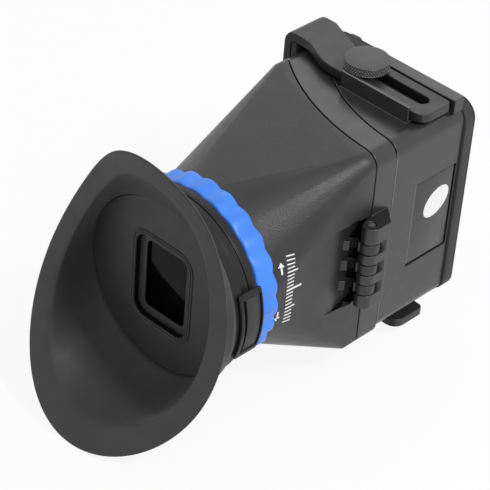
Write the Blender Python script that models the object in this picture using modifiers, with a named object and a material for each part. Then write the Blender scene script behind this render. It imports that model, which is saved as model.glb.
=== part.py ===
"""Flip-up LCD viewfinder loupe with its camera bracket, built from separate pieces.

The origin of the driving sizes is the centre of the screen frame's rear face.  X runs to the
hinge side, Y from the eyecup towards the camera's screen, and Z along the screen's long side.
At the end everything hangs on a root empty that puts the world origin under the part's middle.
"""

import math

import bmesh
import bpy
from mathutils import Matrix, Vector

# Screen frame: the rubber band that meets the camera's screen
FRAME_W = 0.0663
FRAME_H = 0.080
FRAME_CORNER = 0.0070
GASKET_T = 0.0051
GASKET_BAND = 0.0062
GASKET_INNER_CORNER = 0.0040
GASKET_STEP_T = 0.0016
GASKET_STEP_IN = 0.0014

# Clearances
GAP = 0.0003
SEAM_GAP = 0.0005
OVERRUN = 0.004
EMBED = 0.0003

# Case: the box behind the screen and the middle frame share this section
CASE_INSET_SIDE = 0.0009
CASE_INSET_END = 0.0004
CASE_CORNER = 0.0055
CASE_LOWER_CORNER = 0.0030
CASE_WALL = 0.0022
BOX_DEPTH = 0.0346
BOX_FAR_DEPTH = 0.0032
BOX_SEAM_STRAIGHT = 0.01825
MIDDLE_DEPTH = 0.0101
MIDDLE_FAR_DEPTH = 0.0175
SEAM_ARC_OUT = 0.00075
BOX_FLANGE_T = 0.0016
BOX_FLANGE_W = 0.0042
MASK_T = 0.0010
MASK_BAND_X = 0.00705
MASK_BAND_Z = 0.0044

# Case screws and the posts and lugs that they join
POST_INSET_X = 0.00265
POST_INSET_Z = 0.0027
POST_R = 0.0032
LUG_R = 0.0042
LUG_T = 0.0034
CASE_SCREW_R = 0.0010
CASE_SCREW_HEAD_R = 0.0021
CASE_SCREW_HEAD_T = 0.0014
CASE_SCREW_LENGTH = 0.0075

# Magnets that hold the housing shut, in bosses under the top and bottom walls at the seam
MAGNET_R = 0.0025
MAGNET_T = 0.0020
MAGNET_BOSS_R = 0.0038
MAGNET_BOSS_LENGTH = 0.0052
MAGNET_FROM_SIDE = 0.01625
MAGNET_INSET_Z = 0.0033
MAGNET_SKIN = 0.0006

# Tapered housing and its neck
HOUSING_LENGTH = 0.0439
HOUSING_BAND = 0.0060
SHOULDER_W = 0.0018
NECK_R = 0.0280
NECK_WALL = 0.0018
NECK_LIP = 0.0005

# Hinge: seven knuckles on one pin along Z
HINGE_OUT = 0.00315
HINGE_AHEAD = 0.0032
HINGE_R = 0.00355
HINGE_TOP_Z = 0.0155
HINGE_FIRST = 0.0067
HINGE_PITCH = 0.0042
HINGE_LAST = 0.0055
HINGE_PIN_R = 0.00125
HINGE_CLEAR = 0.00035
LEAF_BEHIND = 0.0015
LEAF_RAMP = 0.0060
TONGUE_ANGLE = math.radians(222.0)
TONGUE_T = 0.0030
TONGUE_REACH = 0.0088
FLIP_RANGE = math.radians(170.0)
SLOT_REACH = 0.0090
SCOOP_DEPTH = 0.0072
SCOOP_HALF_LENGTH = 0.0158
SCOOP_SHIFT_X = 0.0009
SCOOP_WALL = 0.0018

# Side cover in the box's hinge side
COVER_FROM_REAR = 0.0012
COVER_LENGTH = 0.0206
COVER_TOP_Z = 0.0172
COVER_BOTTOM_Z = -0.0164
COVER_T = 0.0011
COVER_GAP = 0.0004

# Bracket channels on the box: a bed, a rail in front of the arm and a pad behind it
CHANNEL_FROM_REAR = 0.0008
CHANNEL_LENGTH = 0.0220
RAIL_T = 0.0012
RAIL_LEFT_X = -0.0050
RAIL_FROM_SIDE = 0.00695
PAD_LEFT_X = -0.0080
PAD_FROM_SIDE = 0.00075
LOWER_FROM_SIDE = 0.01425
BED_T = 0.0008
PAD_T = 0.0048
RAIL_H = 0.0064
LOWER_DROP = 0.0025

# Bracket: two slotted arms, a web and a base plate in one bent strap
ARM_T = 0.0033
ARM_FROM_SIDE = 0.00145
ARM_END_R = 0.0045
ARM_REAR_W = 0.00689
ARM_TAIL_IN = 0.0059
ARM_TAIL_W = 0.0171
ARM_TAIL_LENGTH = 0.0084
ARM_BLEND = 0.0180
WEB_CLEAR = 0.00195
BEND_INNER_R = 0.0012
SLOT_FROM_EDGE = 0.0084
SLOT_W = 0.0050
SLOT_SPARE = 0.0003
SLOT_FROM_END = 0.0078
PLATE_OUT = 0.0200
PLATE_HALF_Z = 0.0282
PLATE_CORNER = 0.0060
PLATE_SLOT_Y = 0.0090
PLATE_SLOT_W = 0.0072
CAMERA_TRAVEL = 0.0350

# Thumbscrews with their washers and inserts
KNOB_X = -0.0023
KNOB_R = 0.0078
KNOB_T = 0.0030
KNOB_TEETH = 24
KNOB_TOOTH = 0.0005
KNOB_SHANK_R = 0.0020
KNOB_SHANK_LENGTH = 0.0095
WASHER_R = 0.0060
WASHER_T = 0.0006
WASHER_GAP = 0.0002
INSERT_R = 0.0032
INSERT_DEPTH = 0.0052
INSERT_BOSS_R = 0.0056
INSERT_BOSS_LENGTH = 0.0058

# Camera screw on the base plate
CAMERA_HEAD_R = 0.0090
CAMERA_HEAD_T = 0.0050
CAMERA_SHANK_R = 0.00318
CAMERA_SHANK_OUT = 0.0055
CAMERA_TEETH = 24
CLIP_RING_R = 0.0060
CLIP_RING_T = 0.0008

# Focus ring, its cam and the ring that keeps it on the neck
RING_LENGTH = 0.0078
RING_WALL = 0.0037
SCALLOP_DEPTH = 0.0012
SCALLOP_POWER = 0.6
RING_SCALLOPS = 24
RING_EDGE = 0.0006
KEEPER_T = 0.0016
KEEPER_W = 0.0013
PIN_R = 0.0010
PIN_COUNT = 3
PIN_TIP = 0.0026
PIN_FROM_REAR = 0.0018
CAM_TRAVEL = 0.0040
CAM_ANGLE = math.radians(54.0)

# Lens barrel, from its rear end to its front nose
BARREL_WALL = 0.0018
BARREL_LENGTH = 0.0228
BARREL_NOSE = 0.0032
BARREL_STOP_W = 0.0015
BARREL_STOP_T = 0.0014
FLANGE_W = 0.0026
FLANGE_T = 0.0012
FLANGE_AHEAD = 0.0023
LENS_EDGE_T = 0.0025
EYE_LENS_CROWN = 0.0024
FIELD_LENS_CROWN = 0.0030
LENS_SEAT_GAP = 0.0006
SPACER_LENGTH = 0.0108
SPACER_WALL = 0.0012
RETAINER_T = 0.0020

# Eyepiece collar, clips and face plate
COLLAR_WALL = 0.0016
COLLAR_CLEAR = 0.0010
COLLAR_AHEAD = 0.0007
COLLAR_WEB_T = 0.0017
COLLAR_GROOVE_AHEAD = 0.0034
COLLAR_GROOVE_W = 0.0006
COLLAR_GROOVE_DEPTH = 0.0005
CLIP_T = 0.0012
CLIP_HALF_ANGLE = math.radians(22.0)
CLIP_BAR = 0.0014
CLIP_BAR_ANGLE = math.radians(3.2)
CLIP_BEHIND = 0.0010
FACE_AHEAD = 0.0056
FACE_LIP = 0.0003
FACE_T = 0.0019
FACE_HUB_WALL = 0.0017
WINDOW_W = 0.0245
WINDOW_H = 0.0330
WINDOW_CORNER = 0.0050
WINDOW_STEP = 0.0021
LEDGE_IN_X = 0.00305
LEDGE_IN_Z = 0.0032
LEDGE_CORNER = 0.0022
LEDGE_T = 0.0008
BOSS_RIM = 0.0016
PANE_LAP = 0.0011
PANE_CORNER = 0.0011
PANE_T = 0.0012

# Eyecup: a soft funnel from a round neck to an oval, pointed rim
EYECUP_TURN = math.radians(9.0)
EYECUP_WALL = 0.0020
EYECUP_LIP_T = 0.0008
EYECUP_HUB_CLEAR = 0.0004
EYECUP_NECK_T = 0.0030
EYECUP_ROOT = 0.0006
RIM_SHIFT = 0.0031
RIM_HALF_LENGTH = 0.0543
RIM_HALF_WIDTH = 0.0443
RIM_AHEAD = 0.01365
RIM_TILT = 0.0114
RIM_BOW = -0.0095
RIM_SIDE_BOW = 0.0028
RIM_SPAN = 0.0500
LIP_W = 0.0086
RIM_POINT_SHARE = 0.353
RIM_POINT_POWER = 1.6
RIM_BLUNT_SHARE = 0.334
RIM_BLUNT_POWER = 6.4
BOWL_SHARES = ((0.18, 0.10), (0.44, 0.30), (0.74, 0.62))

# Facets
ROUND_STEPS = 40
CUP_STEPS = 48
INNER_STEPS = 24
CORNER_STEPS = 4
LOFT_CORNER_STEPS = 8
ARC_STEPS = 8
CLIP_STEPS = 6
HINGE_STEPS = 16
SMALL_STEPS = 12
LENS_STEPS = 4
SCALLOP_STEPS = 4
SMOOTH_ANGLE = math.radians(35.0)


def seam_radius(run, straight, drop):
    """Radius of an arc that leaves the X direction and, with its straight end, drops so far."""
    low = 0.0
    high = math.pi / 2
    for _ in range(ROUND_STEPS):
        turn = (low + high) / 2
        if run * math.tan(turn / 2) + straight * math.tan(turn) > drop:
            high = turn
        else:
            low = turn
    return run / math.sin(turn)


# Case sizes that follow
CASE_A = FRAME_W / 2 - CASE_INSET_SIDE
CASE_B = FRAME_H / 2 - CASE_INSET_END
INNER_A = CASE_A - CASE_WALL
INNER_B = CASE_B - CASE_WALL
INNER_CORNER = CASE_CORNER - CASE_WALL
BOX_REAR_Y = -GASKET_T - GAP
BOX_FLANGE_Y = BOX_REAR_Y - BOX_FLANGE_T
BOX_SEAM_Y = BOX_REAR_Y - BOX_DEPTH
HOUSING_SEAM_Y = BOX_SEAM_Y - MIDDLE_DEPTH
SEAM_ARC_X = CASE_A + SEAM_ARC_OUT
BOX_SEAM_BREAK_X = -CASE_A + BOX_SEAM_STRAIGHT
BOX_SEAM_R = seam_radius(SEAM_ARC_X - BOX_SEAM_BREAK_X, BOX_SEAM_STRAIGHT,
                         BOX_DEPTH - BOX_FAR_DEPTH)
HOUSING_SEAM_R = seam_radius(SEAM_ARC_X + CASE_A, 0.0,
                             BOX_DEPTH + MIDDLE_DEPTH - BOX_FAR_DEPTH - MIDDLE_FAR_DEPTH)
POST_X = INNER_A - POST_INSET_X
POST_Z = INNER_B - POST_INSET_Z
MAGNET_X = -CASE_A + MAGNET_FROM_SIDE
MAGNET_Z = INNER_B - MAGNET_INSET_Z
COVER_REAR_Y = BOX_REAR_Y - COVER_FROM_REAR
COVER_FRONT_Y = COVER_REAR_Y - COVER_LENGTH
HINGE_X = CASE_A + HINGE_OUT
HINGE_Y = HOUSING_SEAM_Y - HINGE_AHEAD
LEAF_REAR_Y = BOX_SEAM_Y - LEAF_BEHIND
LEAF_RAMP_Y = LEAF_REAR_Y - LEAF_RAMP
KNUCKLES = [HINGE_FIRST] + [HINGE_PITCH] * 5 + [HINGE_LAST]
HINGE_BOTTOM_Z = HINGE_TOP_Z - sum(KNUCKLES)

# Bracket places that follow; each pair is for the upper and the lower side
PAD_REAR_Y = BOX_REAR_Y - CHANNEL_FROM_REAR
RAIL_FRONT_Y = PAD_REAR_Y - CHANNEL_LENGTH
ARM_FRONT_Y = RAIL_FRONT_Y + RAIL_T + GAP
SLOT_Y = ARM_FRONT_Y + SLOT_FROM_EDGE
ARM_REAR_Y = SLOT_Y + ARM_REAR_W
ARM_TAIL_FRONT_Y = ARM_FRONT_Y + ARM_TAIL_IN
ARM_TAIL_REAR_Y = ARM_TAIL_FRONT_Y + ARM_TAIL_W
RAIL_RIGHT_X = CASE_A - RAIL_FROM_SIDE
PAD_RIGHT_X = CASE_A - PAD_FROM_SIDE
LOWER_RIGHT_X = CASE_A - LOWER_FROM_SIDE
WEB_INNER_X = -FRAME_W / 2 - WEB_CLEAR
WEB_OUTER_X = WEB_INNER_X - ARM_T
ARM_RIGHT_X = CASE_A - ARM_FROM_SIDE
ARM_TAIL_X = WEB_OUTER_X + ARM_TAIL_LENGTH
ARM_SHOULDER_X = ARM_TAIL_X + ARM_BLEND
BED = {1: CASE_B + BED_T, -1: CASE_B + BED_T + LOWER_DROP}
ARM_TOP = {side: BED[side] + GAP + ARM_T for side in BED}
SLOT_LEFT_X = KNOB_X - SLOT_SPARE
SLOT_RIGHT_X = ARM_RIGHT_X - SLOT_FROM_END
PLATE_REAR_Y = PLATE_OUT
PLATE_SLOT_HALF = CAMERA_TRAVEL / 2 + SLOT_SPARE

# Hood and eyepiece places that follow, from the shoulder to the face
NECK_SHOULDER_Y = HOUSING_SEAM_Y - HOUSING_LENGTH
HOUSING_FRONT_R = NECK_R + SHOULDER_W
NECK_BORE_R = NECK_R - NECK_WALL
RING_REAR_Y = NECK_SHOULDER_Y - GAP
RING_FRONT_Y = RING_REAR_Y - RING_LENGTH
RING_BORE_R = NECK_R + GAP
RING_VALLEY_R = RING_BORE_R + RING_WALL
RING_CREST_R = RING_VALLEY_R + SCALLOP_DEPTH
RING_FRONT_R = RING_VALLEY_R + RING_EDGE / 3
KEEPER_FRONT_Y = RING_FRONT_Y - GAP - KEEPER_T
KEEPER_R = RING_BORE_R + KEEPER_W
NECK_END_Y = KEEPER_FRONT_Y - NECK_LIP
PIN_REST_Y = RING_REAR_Y - PIN_FROM_REAR
PIN_TIP_R = NECK_R + PIN_TIP
CAM_DEPTH_R = PIN_TIP_R + GAP
BARREL_R = NECK_BORE_R - GAP
BARREL_BORE_R = BARREL_R - BARREL_WALL
LENS_R = BARREL_BORE_R - GAP
BARREL_STOP_R = BARREL_BORE_R - BARREL_STOP_W
FLANGE_R = BARREL_R + FLANGE_W
FLANGE_REAR_Y = NECK_END_Y - FLANGE_AHEAD
BARREL_REAR_Y = FLANGE_REAR_Y + BARREL_LENGTH
BARREL_FRONT_Y = FLANGE_REAR_Y - BARREL_NOSE
EYE_LENS_EDGE_Y = BARREL_FRONT_Y + BARREL_STOP_T + GAP
FIELD_LENS_EDGE_Y = EYE_LENS_EDGE_Y + LENS_EDGE_T + 2 * LENS_SEAT_GAP + SPACER_LENGTH
COLLAR_BORE_R = KEEPER_R + COLLAR_CLEAR
COLLAR_R = COLLAR_BORE_R + COLLAR_WALL
COLLAR_REAR_Y = RING_FRONT_Y - COLLAR_AHEAD
COLLAR_GROOVE_Y = COLLAR_REAR_Y - COLLAR_GROOVE_AHEAD
COLLAR_FRONT_Y = FLANGE_REAR_Y - FLANGE_T - GAP - COLLAR_WEB_T
CLIP_FRONT_Y = COLLAR_FRONT_Y + CLIP_BEHIND
FACE_Y = COLLAR_FRONT_Y - FACE_AHEAD
FACE_R = COLLAR_R + FACE_LIP
FACE_HUB_R = COLLAR_BORE_R
PANE_FRONT_Y = FACE_Y + WINDOW_STEP + LEDGE_T + GAP
BOSS_REAR_Y = PANE_FRONT_Y + PANE_T + 2 * GAP
LEDGE_W = WINDOW_W - 2 * LEDGE_IN_X
LEDGE_H = WINDOW_H - 2 * LEDGE_IN_Z
PANE_W = LEDGE_W + 2 * PANE_LAP
PANE_H = LEDGE_H + 2 * PANE_LAP
EYECUP_NECK_R = FACE_HUB_R + EYECUP_HUB_CLEAR
EYECUP_OUTER_R = EYECUP_NECK_R + EYECUP_NECK_T
EYECUP_NECK_Y = COLLAR_FRONT_Y - GAP
EYECUP_SEAT_Y = FACE_Y + FACE_T + GAP
EYECUP_BOWL_Y = FACE_Y - EYECUP_ROOT
RIM_Y = FACE_Y - RIM_AHEAD

COLORS = {
    "case_black": ((0.020, 0.020, 0.022, 1.0), 0.42, 0.0),
    "trim_black": ((0.014, 0.014, 0.015, 1.0), 0.50, 0.0),
    "rubber_black": ((0.022, 0.022, 0.023, 1.0), 0.78, 0.0),
    "ring_blue": ((0.055, 0.190, 0.820, 1.0), 0.38, 0.0),
    "lens_glass": ((0.80, 0.84, 0.88, 1.0), 0.03, 0.0),
    "steel": ((0.58, 0.58, 0.60, 1.0), 0.30, 1.0),
    "brass": ((0.72, 0.55, 0.25, 1.0), 0.32, 1.0),
}


def clear_scene():
    """Take away whatever the opened file holds."""
    for item in list(bpy.data.objects):
        bpy.data.objects.remove(item, do_unlink=True)


def new_collection(name):
    """A fresh collection under the scene."""
    group = bpy.data.collections.new(name)
    bpy.context.scene.collection.children.link(group)
    return group


def make_materials():
    """Plain finishes by name."""
    made = {}
    for name, (color, rough, metal) in COLORS.items():
        mat = bpy.data.materials.new(name)
        mat.use_nodes = True
        shader = mat.node_tree.nodes["Principled BSDF"]
        shader.inputs["Base Color"].default_value = color
        shader.inputs["Roughness"].default_value = rough
        shader.inputs["Metallic"].default_value = metal
        mat.diffuse_color = color
        made[name] = mat
    return made


clear_scene()
PARTS = new_collection("lcd_viewfinder_loupe")
CUTTERS = new_collection("cutters")
MATERIALS = make_materials()


def empty(name, place, parent=None):
    """A parent empty at a joint's place."""
    item = bpy.data.objects.new(name, None)
    PARTS.objects.link(item)
    item.parent = parent
    offset = Vector(place)
    if parent is not None:
        offset = offset - PLACES[parent.name]
    item.location = offset
    PLACES[name] = Vector(place)
    return item


PLACES = {}


def put(item, material, holder):
    """Give a shape its finish and hang it on an empty without moving it."""
    PARTS.objects.link(item)
    own = MATERIALS[material].copy()
    own.name = item.name + "_finish"
    item.data.materials.clear()
    item.data.materials.append(own)
    hang(item, holder)
    return item


def hang(item, holder):
    """Parent a shape and the shapes that cut or join it, so that they move as one."""
    item.parent = holder
    item.matrix_parent_inverse = Matrix.Translation(-PLACES[holder.name])
    for step in item.modifiers:
        if step.type == "BOOLEAN":
            hang(step.object, holder)


def tool(item):
    """Keep a shape as a hidden cutter or joining shape."""
    CUTTERS.objects.link(item)
    item.hide_render = True
    item.display_type = "WIRE"
    return item


def combine(item, other, operation):
    """Join or cut one shape with another."""
    step = item.modifiers.new(operation.lower(), "BOOLEAN")
    step.operation = operation
    step.solver = "EXACT"
    step.object = tool(other)
    return item


def cut(item, other):
    """Take one shape away from another."""
    return combine(item, other, "DIFFERENCE")


def join(item, other):
    """Fuse one shape with another."""
    return combine(item, other, "UNION")


def keep_common(item, other):
    """Keep only what lies in both shapes."""
    return combine(item, other, "INTERSECT")


def mesh_object(name, bm):
    """Turn a bmesh into an object with outward faces and smooth rounds."""
    bmesh.ops.recalc_face_normals(bm, faces=bm.faces)
    data = bpy.data.meshes.new(name)
    bm.to_mesh(data)
    bm.free()
    data.shade_smooth()
    data.set_sharp_from_angle(angle=SMOOTH_ANGLE)
    return bpy.data.objects.new(name, data)


def arc(center, radius, start, end, steps):
    """Points along an arc, both ends included."""
    points = []
    for index in range(steps + 1):
        angle = start + (end - start) * index / steps
        points.append((center[0] + radius * math.cos(angle), center[1] + radius * math.sin(angle)))
    return points


def rounded_rect(half_a, half_b, radius, steps=CORNER_STEPS, center=(0.0, 0.0)):
    """A rectangle with round corners, counterclockwise from the right side's top."""
    quarter = math.pi / 2
    points = []
    for index, (sx, sy) in enumerate(((1, 1), (-1, 1), (-1, -1), (1, -1))):
        middle = (center[0] + sx * (half_a - radius), center[1] + sy * (half_b - radius))
        points += arc(middle, radius, index * quarter, (index + 1) * quarter, steps)
    return points


def circle(radius, steps=ROUND_STEPS, center=(0.0, 0.0)):
    """A round outline."""
    return arc(center, radius, 0.0, 2 * math.pi, steps)[:-1]


def stadium(first, last, width, steps=6):
    """A slot outline with round ends, from one end centre to the other."""
    along = math.atan2(last[1] - first[1], last[0] - first[0])
    quarter = math.pi / 2
    tail = arc(first, width / 2, along + quarter, along + 3 * quarter, steps)
    head = arc(last, width / 2, along - quarter, along + quarter, steps)
    return tail + head


AXES = {
    "X": Matrix(((0, 0, 1), (1, 0, 0), (0, 1, 0))),
    "Y": Matrix(((1, 0, 0), (0, 0, -1), (0, 1, 0))),
    "Z": Matrix.Identity(3),
}


def prism(name, loops, low, high, axis):
    """Flat outlines, the first outside and the rest holes, drawn out between two planes."""
    curve = bpy.data.curves.new(name, "CURVE")
    curve.dimensions = "2D"
    curve.fill_mode = "BOTH"
    curve.extrude = (high - low) / 2
    for loop in loops:
        spline = curve.splines.new("POLY")
        spline.points.add(len(loop) - 1)
        for point, (a, b) in zip(spline.points, loop):
            point.co = (a, b, 0.0, 1.0)
        spline.use_cyclic_u = True
    drawn = bpy.data.objects.new(name, curve)
    bpy.context.scene.collection.objects.link(drawn)
    bpy.context.view_layer.update()
    flat = bpy.data.meshes.new_from_object(drawn.evaluated_get(bpy.context.evaluated_depsgraph_get()))
    bpy.data.objects.remove(drawn, do_unlink=True)
    bm = bmesh.new()
    bm.from_mesh(flat)
    bpy.data.meshes.remove(flat)
    bmesh.ops.remove_doubles(bm, verts=bm.verts, dist=GAP / 100)
    turn = AXES[axis]
    middle = (low + high) / 2
    shift = Vector([middle if letter == axis else 0.0 for letter in "XYZ"])
    for vert in bm.verts:
        vert.co = turn @ vert.co + shift
    return mesh_object(name, bm)


def box(name, low, high):
    """A plain block between two corners."""
    bm = bmesh.new()
    bmesh.ops.create_cube(bm, size=1.0)
    size = [b - a for a, b in zip(low, high)]
    middle = [(a + b) / 2 for a, b in zip(low, high)]
    bmesh.ops.scale(bm, vec=size, verts=bm.verts)
    bmesh.ops.translate(bm, vec=middle, verts=bm.verts)
    return mesh_object(name, bm)


def rod(name, start, end, radius, steps=SMALL_STEPS):
    """A cylinder from one point to another."""
    start = Vector(start)
    end = Vector(end)
    way = end - start
    bm = bmesh.new()
    turn = Vector((0, 0, 1)).rotation_difference(way).to_matrix().to_4x4()
    place = Matrix.Translation((start + end) / 2) @ turn
    bmesh.ops.create_cone(bm, cap_ends=True, segments=steps, radius1=radius, radius2=radius,
                          depth=way.length, matrix=place)
    return mesh_object(name, bm)


def loft(name, rings, caps=True, closed=False):
    """A skin through rings of matching points; closed joins the last ring to the first."""
    bm = bmesh.new()
    rows = [[bm.verts.new(point) for point in ring] for ring in rings]
    count = len(rows[0])
    pairs = list(zip(rows, rows[1:]))
    if closed:
        pairs.append((rows[-1], rows[0]))
        caps = False
    for first, second in pairs:
        for index in range(count):
            after = (index + 1) % count
            bm.faces.new((first[index], first[after], second[after], second[index]))
    if caps:
        bm.faces.new(rows[0])
        bm.faces.new(rows[-1])
    bmesh.ops.triangulate(bm, faces=bm.faces)
    return mesh_object(name, bm)


def turned(name, profile, axis="Y", steps=ROUND_STEPS):
    """A closed profile of radius and height, outer side downwards, turned about an axis."""
    bm = bmesh.new()
    verts = [bm.verts.new((radius, 0.0, height)) for radius, height in profile]
    for first, second in zip(verts, verts[1:] + verts[:1]):
        if first.co.x > 0.0 or second.co.x > 0.0:
            bm.edges.new((first, second))
    data = bpy.data.meshes.new(name)
    bm.to_mesh(data)
    bm.free()
    item = bpy.data.objects.new(name, data)
    step = item.modifiers.new("turn", "SCREW")
    step.axis = "Z"
    step.angle = 2 * math.pi
    step.steps = steps
    step.render_steps = steps
    step.use_merge_vertices = True
    step.merge_threshold = GAP / 100
    step.use_smooth_shade = True
    if axis == "Y":
        item.rotation_euler = (-math.pi / 2, 0.0, 0.0)
    if axis == "X":
        item.rotation_euler = (0.0, math.pi / 2, 0.0)
    return item


def seam_y(x, middle_y, radius):
    """Where an arc seam lies at one X."""
    return middle_y + radius - math.sqrt(radius ** 2 - (x - SEAM_ARC_X) ** 2)


def housing_seam_y(x):
    """The seam between the housing and the middle frame."""
    return seam_y(x, HOUSING_SEAM_Y, HOUSING_SEAM_R)


def box_seam_y(x):
    """The seam between the middle frame and the box: an arc that runs out straight."""
    if x >= BOX_SEAM_BREAK_X:
        return seam_y(x, BOX_SEAM_Y, BOX_SEAM_R)
    run = SEAM_ARC_X - BOX_SEAM_BREAK_X
    slope = run / math.sqrt(BOX_SEAM_R ** 2 - run ** 2)
    return seam_y(BOX_SEAM_BREAK_X, BOX_SEAM_Y, BOX_SEAM_R) + slope * (BOX_SEAM_BREAK_X - x)


def seam_cutter(name, curve, shift, keep_rear):
    """Everything in front of a seam, or behind it, as a tall block."""
    left = -CASE_A - OVERRUN
    right = HINGE_X + HINGE_R + OVERRUN
    steps = 2 * ARC_STEPS
    line = []
    for index in range(steps + 1):
        x = left + (right - left) * index / steps
        line.append((x, curve(min(x, SEAM_ARC_X)) + shift))
    far_y = NECK_END_Y if keep_rear else FRAME_W
    outline = line + [(right, far_y), (left, far_y)]
    half = CASE_B + OVERRUN
    return prism(name, [outline], -half, half, "Z")


def front_section(inset, steps=CORNER_STEPS):
    """The section of the middle frame and the housing, with sharper lower corners."""
    upper = CASE_CORNER - inset
    lower = max(CASE_LOWER_CORNER - inset, EMBED)
    half_a = CASE_A - inset
    half_b = CASE_B - inset
    upper_half = rounded_rect(half_a, half_b, upper, steps)[:2 * steps + 2]
    lower_half = rounded_rect(half_a, half_b, lower, steps)[2 * steps + 2:]
    return upper_half + lower_half


def rear_gasket(holder):
    """The rubber band round the screen, with a thinner sealing lip inside."""
    outer = rounded_rect(FRAME_W / 2, FRAME_H / 2, FRAME_CORNER, CORNER_STEPS + 3)
    half_w = FRAME_W / 2 - GASKET_BAND
    half_h = FRAME_H / 2 - GASKET_BAND
    corner = GASKET_INNER_CORNER
    inner = rounded_rect(half_w, half_h, corner)
    item = prism("rear_gasket", [outer, inner], -GASKET_T, 0.0, "Y")
    step = rounded_rect(half_w + GASKET_STEP_IN, half_h + GASKET_STEP_IN, corner + GASKET_STEP_IN)
    cut(item, prism("gasket_step", [step], -GASKET_STEP_T, OVERRUN, "Y"))
    return put(item, "rubber_black", holder)


def channel(item, sign):
    """Rail, pad and bed that guide one bracket arm, above or below."""
    def span(low, high):
        ends = (sign * low, sign * high)
        return min(ends), max(ends)

    drop = BED[sign] - BED[1]
    right = {1: RAIL_RIGHT_X, -1: LOWER_RIGHT_X}[sign]
    pad_right = {1: PAD_RIGHT_X, -1: LOWER_RIGHT_X + EMBED}[sign]
    pad_front = ARM_REAR_Y + GAP
    root = sign * (CASE_B - EMBED)
    bed = sign * BED[sign]
    top = sign * (CASE_B + drop + RAIL_H)
    profile = [(RAIL_FRONT_Y, root), (pad_front + EMBED, root), (pad_front + EMBED, bed),
               (RAIL_FRONT_Y + RAIL_T, bed), (RAIL_FRONT_Y + RAIL_T, top), (RAIL_FRONT_Y, top)]
    join(item, prism("rail_and_bed", [profile], RAIL_LEFT_X, right, "X"))
    low, high = span(CASE_B - 2 * EMBED, CASE_B + drop + PAD_T)
    pad = prism("pad", [[(PAD_LEFT_X, pad_front), (right, pad_front),
                         (pad_right, pad_front + EMBED), (pad_right, PAD_REAR_Y),
                         (PAD_LEFT_X, PAD_REAR_Y)]], low, high, "Z")
    join(item, pad)
    boss_end = BED[1] - INSERT_BOSS_LENGTH
    low, high = span(boss_end, CASE_B - CASE_WALL + EMBED)
    join(item, rod("insert_boss", (KNOB_X, SLOT_Y, low), (KNOB_X, SLOT_Y, high), INSERT_BOSS_R))
    low, high = span(boss_end - OVERRUN, BED[sign] + OVERRUN)
    hole = INSERT_R + GAP
    cut(item, rod("insert_hole", (KNOB_X, SLOT_Y, low), (KNOB_X, SLOT_Y, high), hole))


def post_places():
    """The four case screw axes as X, Z pairs."""
    return [(sx * POST_X, sz * POST_Z) for sx in (1, -1) for sz in (1, -1)]


def rear_box(holder):
    """The moulded box behind the screen, with its channels, posts and cover recess."""
    deepest = BOX_SEAM_Y - OVERRUN
    item = prism("rear_box", [rounded_rect(CASE_A, CASE_B, CASE_CORNER)], deepest, BOX_REAR_Y, "Y")
    hollow = rounded_rect(INNER_A, INNER_B, INNER_CORNER)
    cut(item, prism("box_hollow", [hollow], deepest - OVERRUN, BOX_FLANGE_Y, "Y"))
    hole = rounded_rect(INNER_A - BOX_FLANGE_W, INNER_B - BOX_FLANGE_W, INNER_CORNER)
    cut(item, prism("flange_hole", [hole], BOX_FLANGE_Y - OVERRUN, BOX_REAR_Y + OVERRUN, "Y"))
    for x, z in post_places():
        join(item, rod("post", (x, deepest + EMBED, z), (x, BOX_REAR_Y - EMBED, z), POST_R))
    for sign in (1, -1):
        channel(item, sign)
    for x, z in post_places():
        hole = CASE_SCREW_R + GAP
        end = BOX_FLANGE_Y - EMBED
        cut(item, rod("post_hole", (x, deepest - OVERRUN, z), (x, end, z), hole))
    cut(item, seam_cutter("box_seam", box_seam_y, SEAM_GAP / 2, True))
    low = (CASE_A - COVER_T - GAP, COVER_FRONT_Y - COVER_GAP, COVER_BOTTOM_Z - COVER_GAP)
    high = (CASE_A + OVERRUN, COVER_REAR_Y + COVER_GAP, COVER_TOP_Z + COVER_GAP)
    cut(item, box("cover_recess", low, high))
    return put(item, "case_black", holder)


def screen_mask(holder):
    """The thin light mask against the box's inner flange."""
    window = rounded_rect(INNER_A - MASK_BAND_X, INNER_B - MASK_BAND_Z, INNER_CORNER)
    rear = BOX_FLANGE_Y - GAP
    item = prism("screen_mask", [mask_outline(), window], rear - MASK_T, rear, "Y")
    return put(item, "trim_black", holder)


def mask_outline():
    """The mask's outline, with a round notch for the post in each corner."""
    side = INNER_A - GAP - POST_X
    end = INNER_B - GAP - POST_Z
    reach = POST_R + GAP
    first = -math.acos(side / reach)
    last = -math.pi - math.asin(end / reach)
    corner = arc((POST_X, POST_Z), reach, first, last, 2 * CORNER_STEPS)
    points = []
    for sx, sz in ((1, 1), (-1, 1), (-1, -1), (1, -1)):
        mirrored = [(sx * x, sz * z) for x, z in corner]
        points += mirrored if sx * sz > 0 else mirrored[::-1]
    return points


def side_cover(holder):
    """The flush cover plate on the hinge side, tapered towards the front and top."""
    low_x = CASE_A - COVER_T
    outline = [(COVER_FRONT_Y, COVER_BOTTOM_Z), (COVER_REAR_Y, COVER_BOTTOM_Z),
               (COVER_REAR_Y, COVER_TOP_Z), (COVER_FRONT_Y, COVER_TOP_Z)]
    item = prism("side_cover", [outline], low_x, CASE_A, "X")
    step = item.modifiers.new("edge", "BEVEL")
    step.width = COVER_GAP / 2
    step.segments = 1
    return put(item, "case_black", holder)


def knuckle_spans():
    """Bottom and top of each knuckle, from the top one down."""
    spans = []
    top = HINGE_TOP_Z
    for length in KNUCKLES:
        spans.append((top - length, top))
        top -= length
    return spans


def hinge_barrel(name, low, high, radius):
    """A length of cylinder on the hinge axis."""
    return rod(name, (HINGE_X, HINGE_Y, low), (HINGE_X, HINGE_Y, high), radius, HINGE_STEPS)


def hinge_center():
    """The hinge axis in plan."""
    return (HINGE_X, HINGE_Y)


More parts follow.
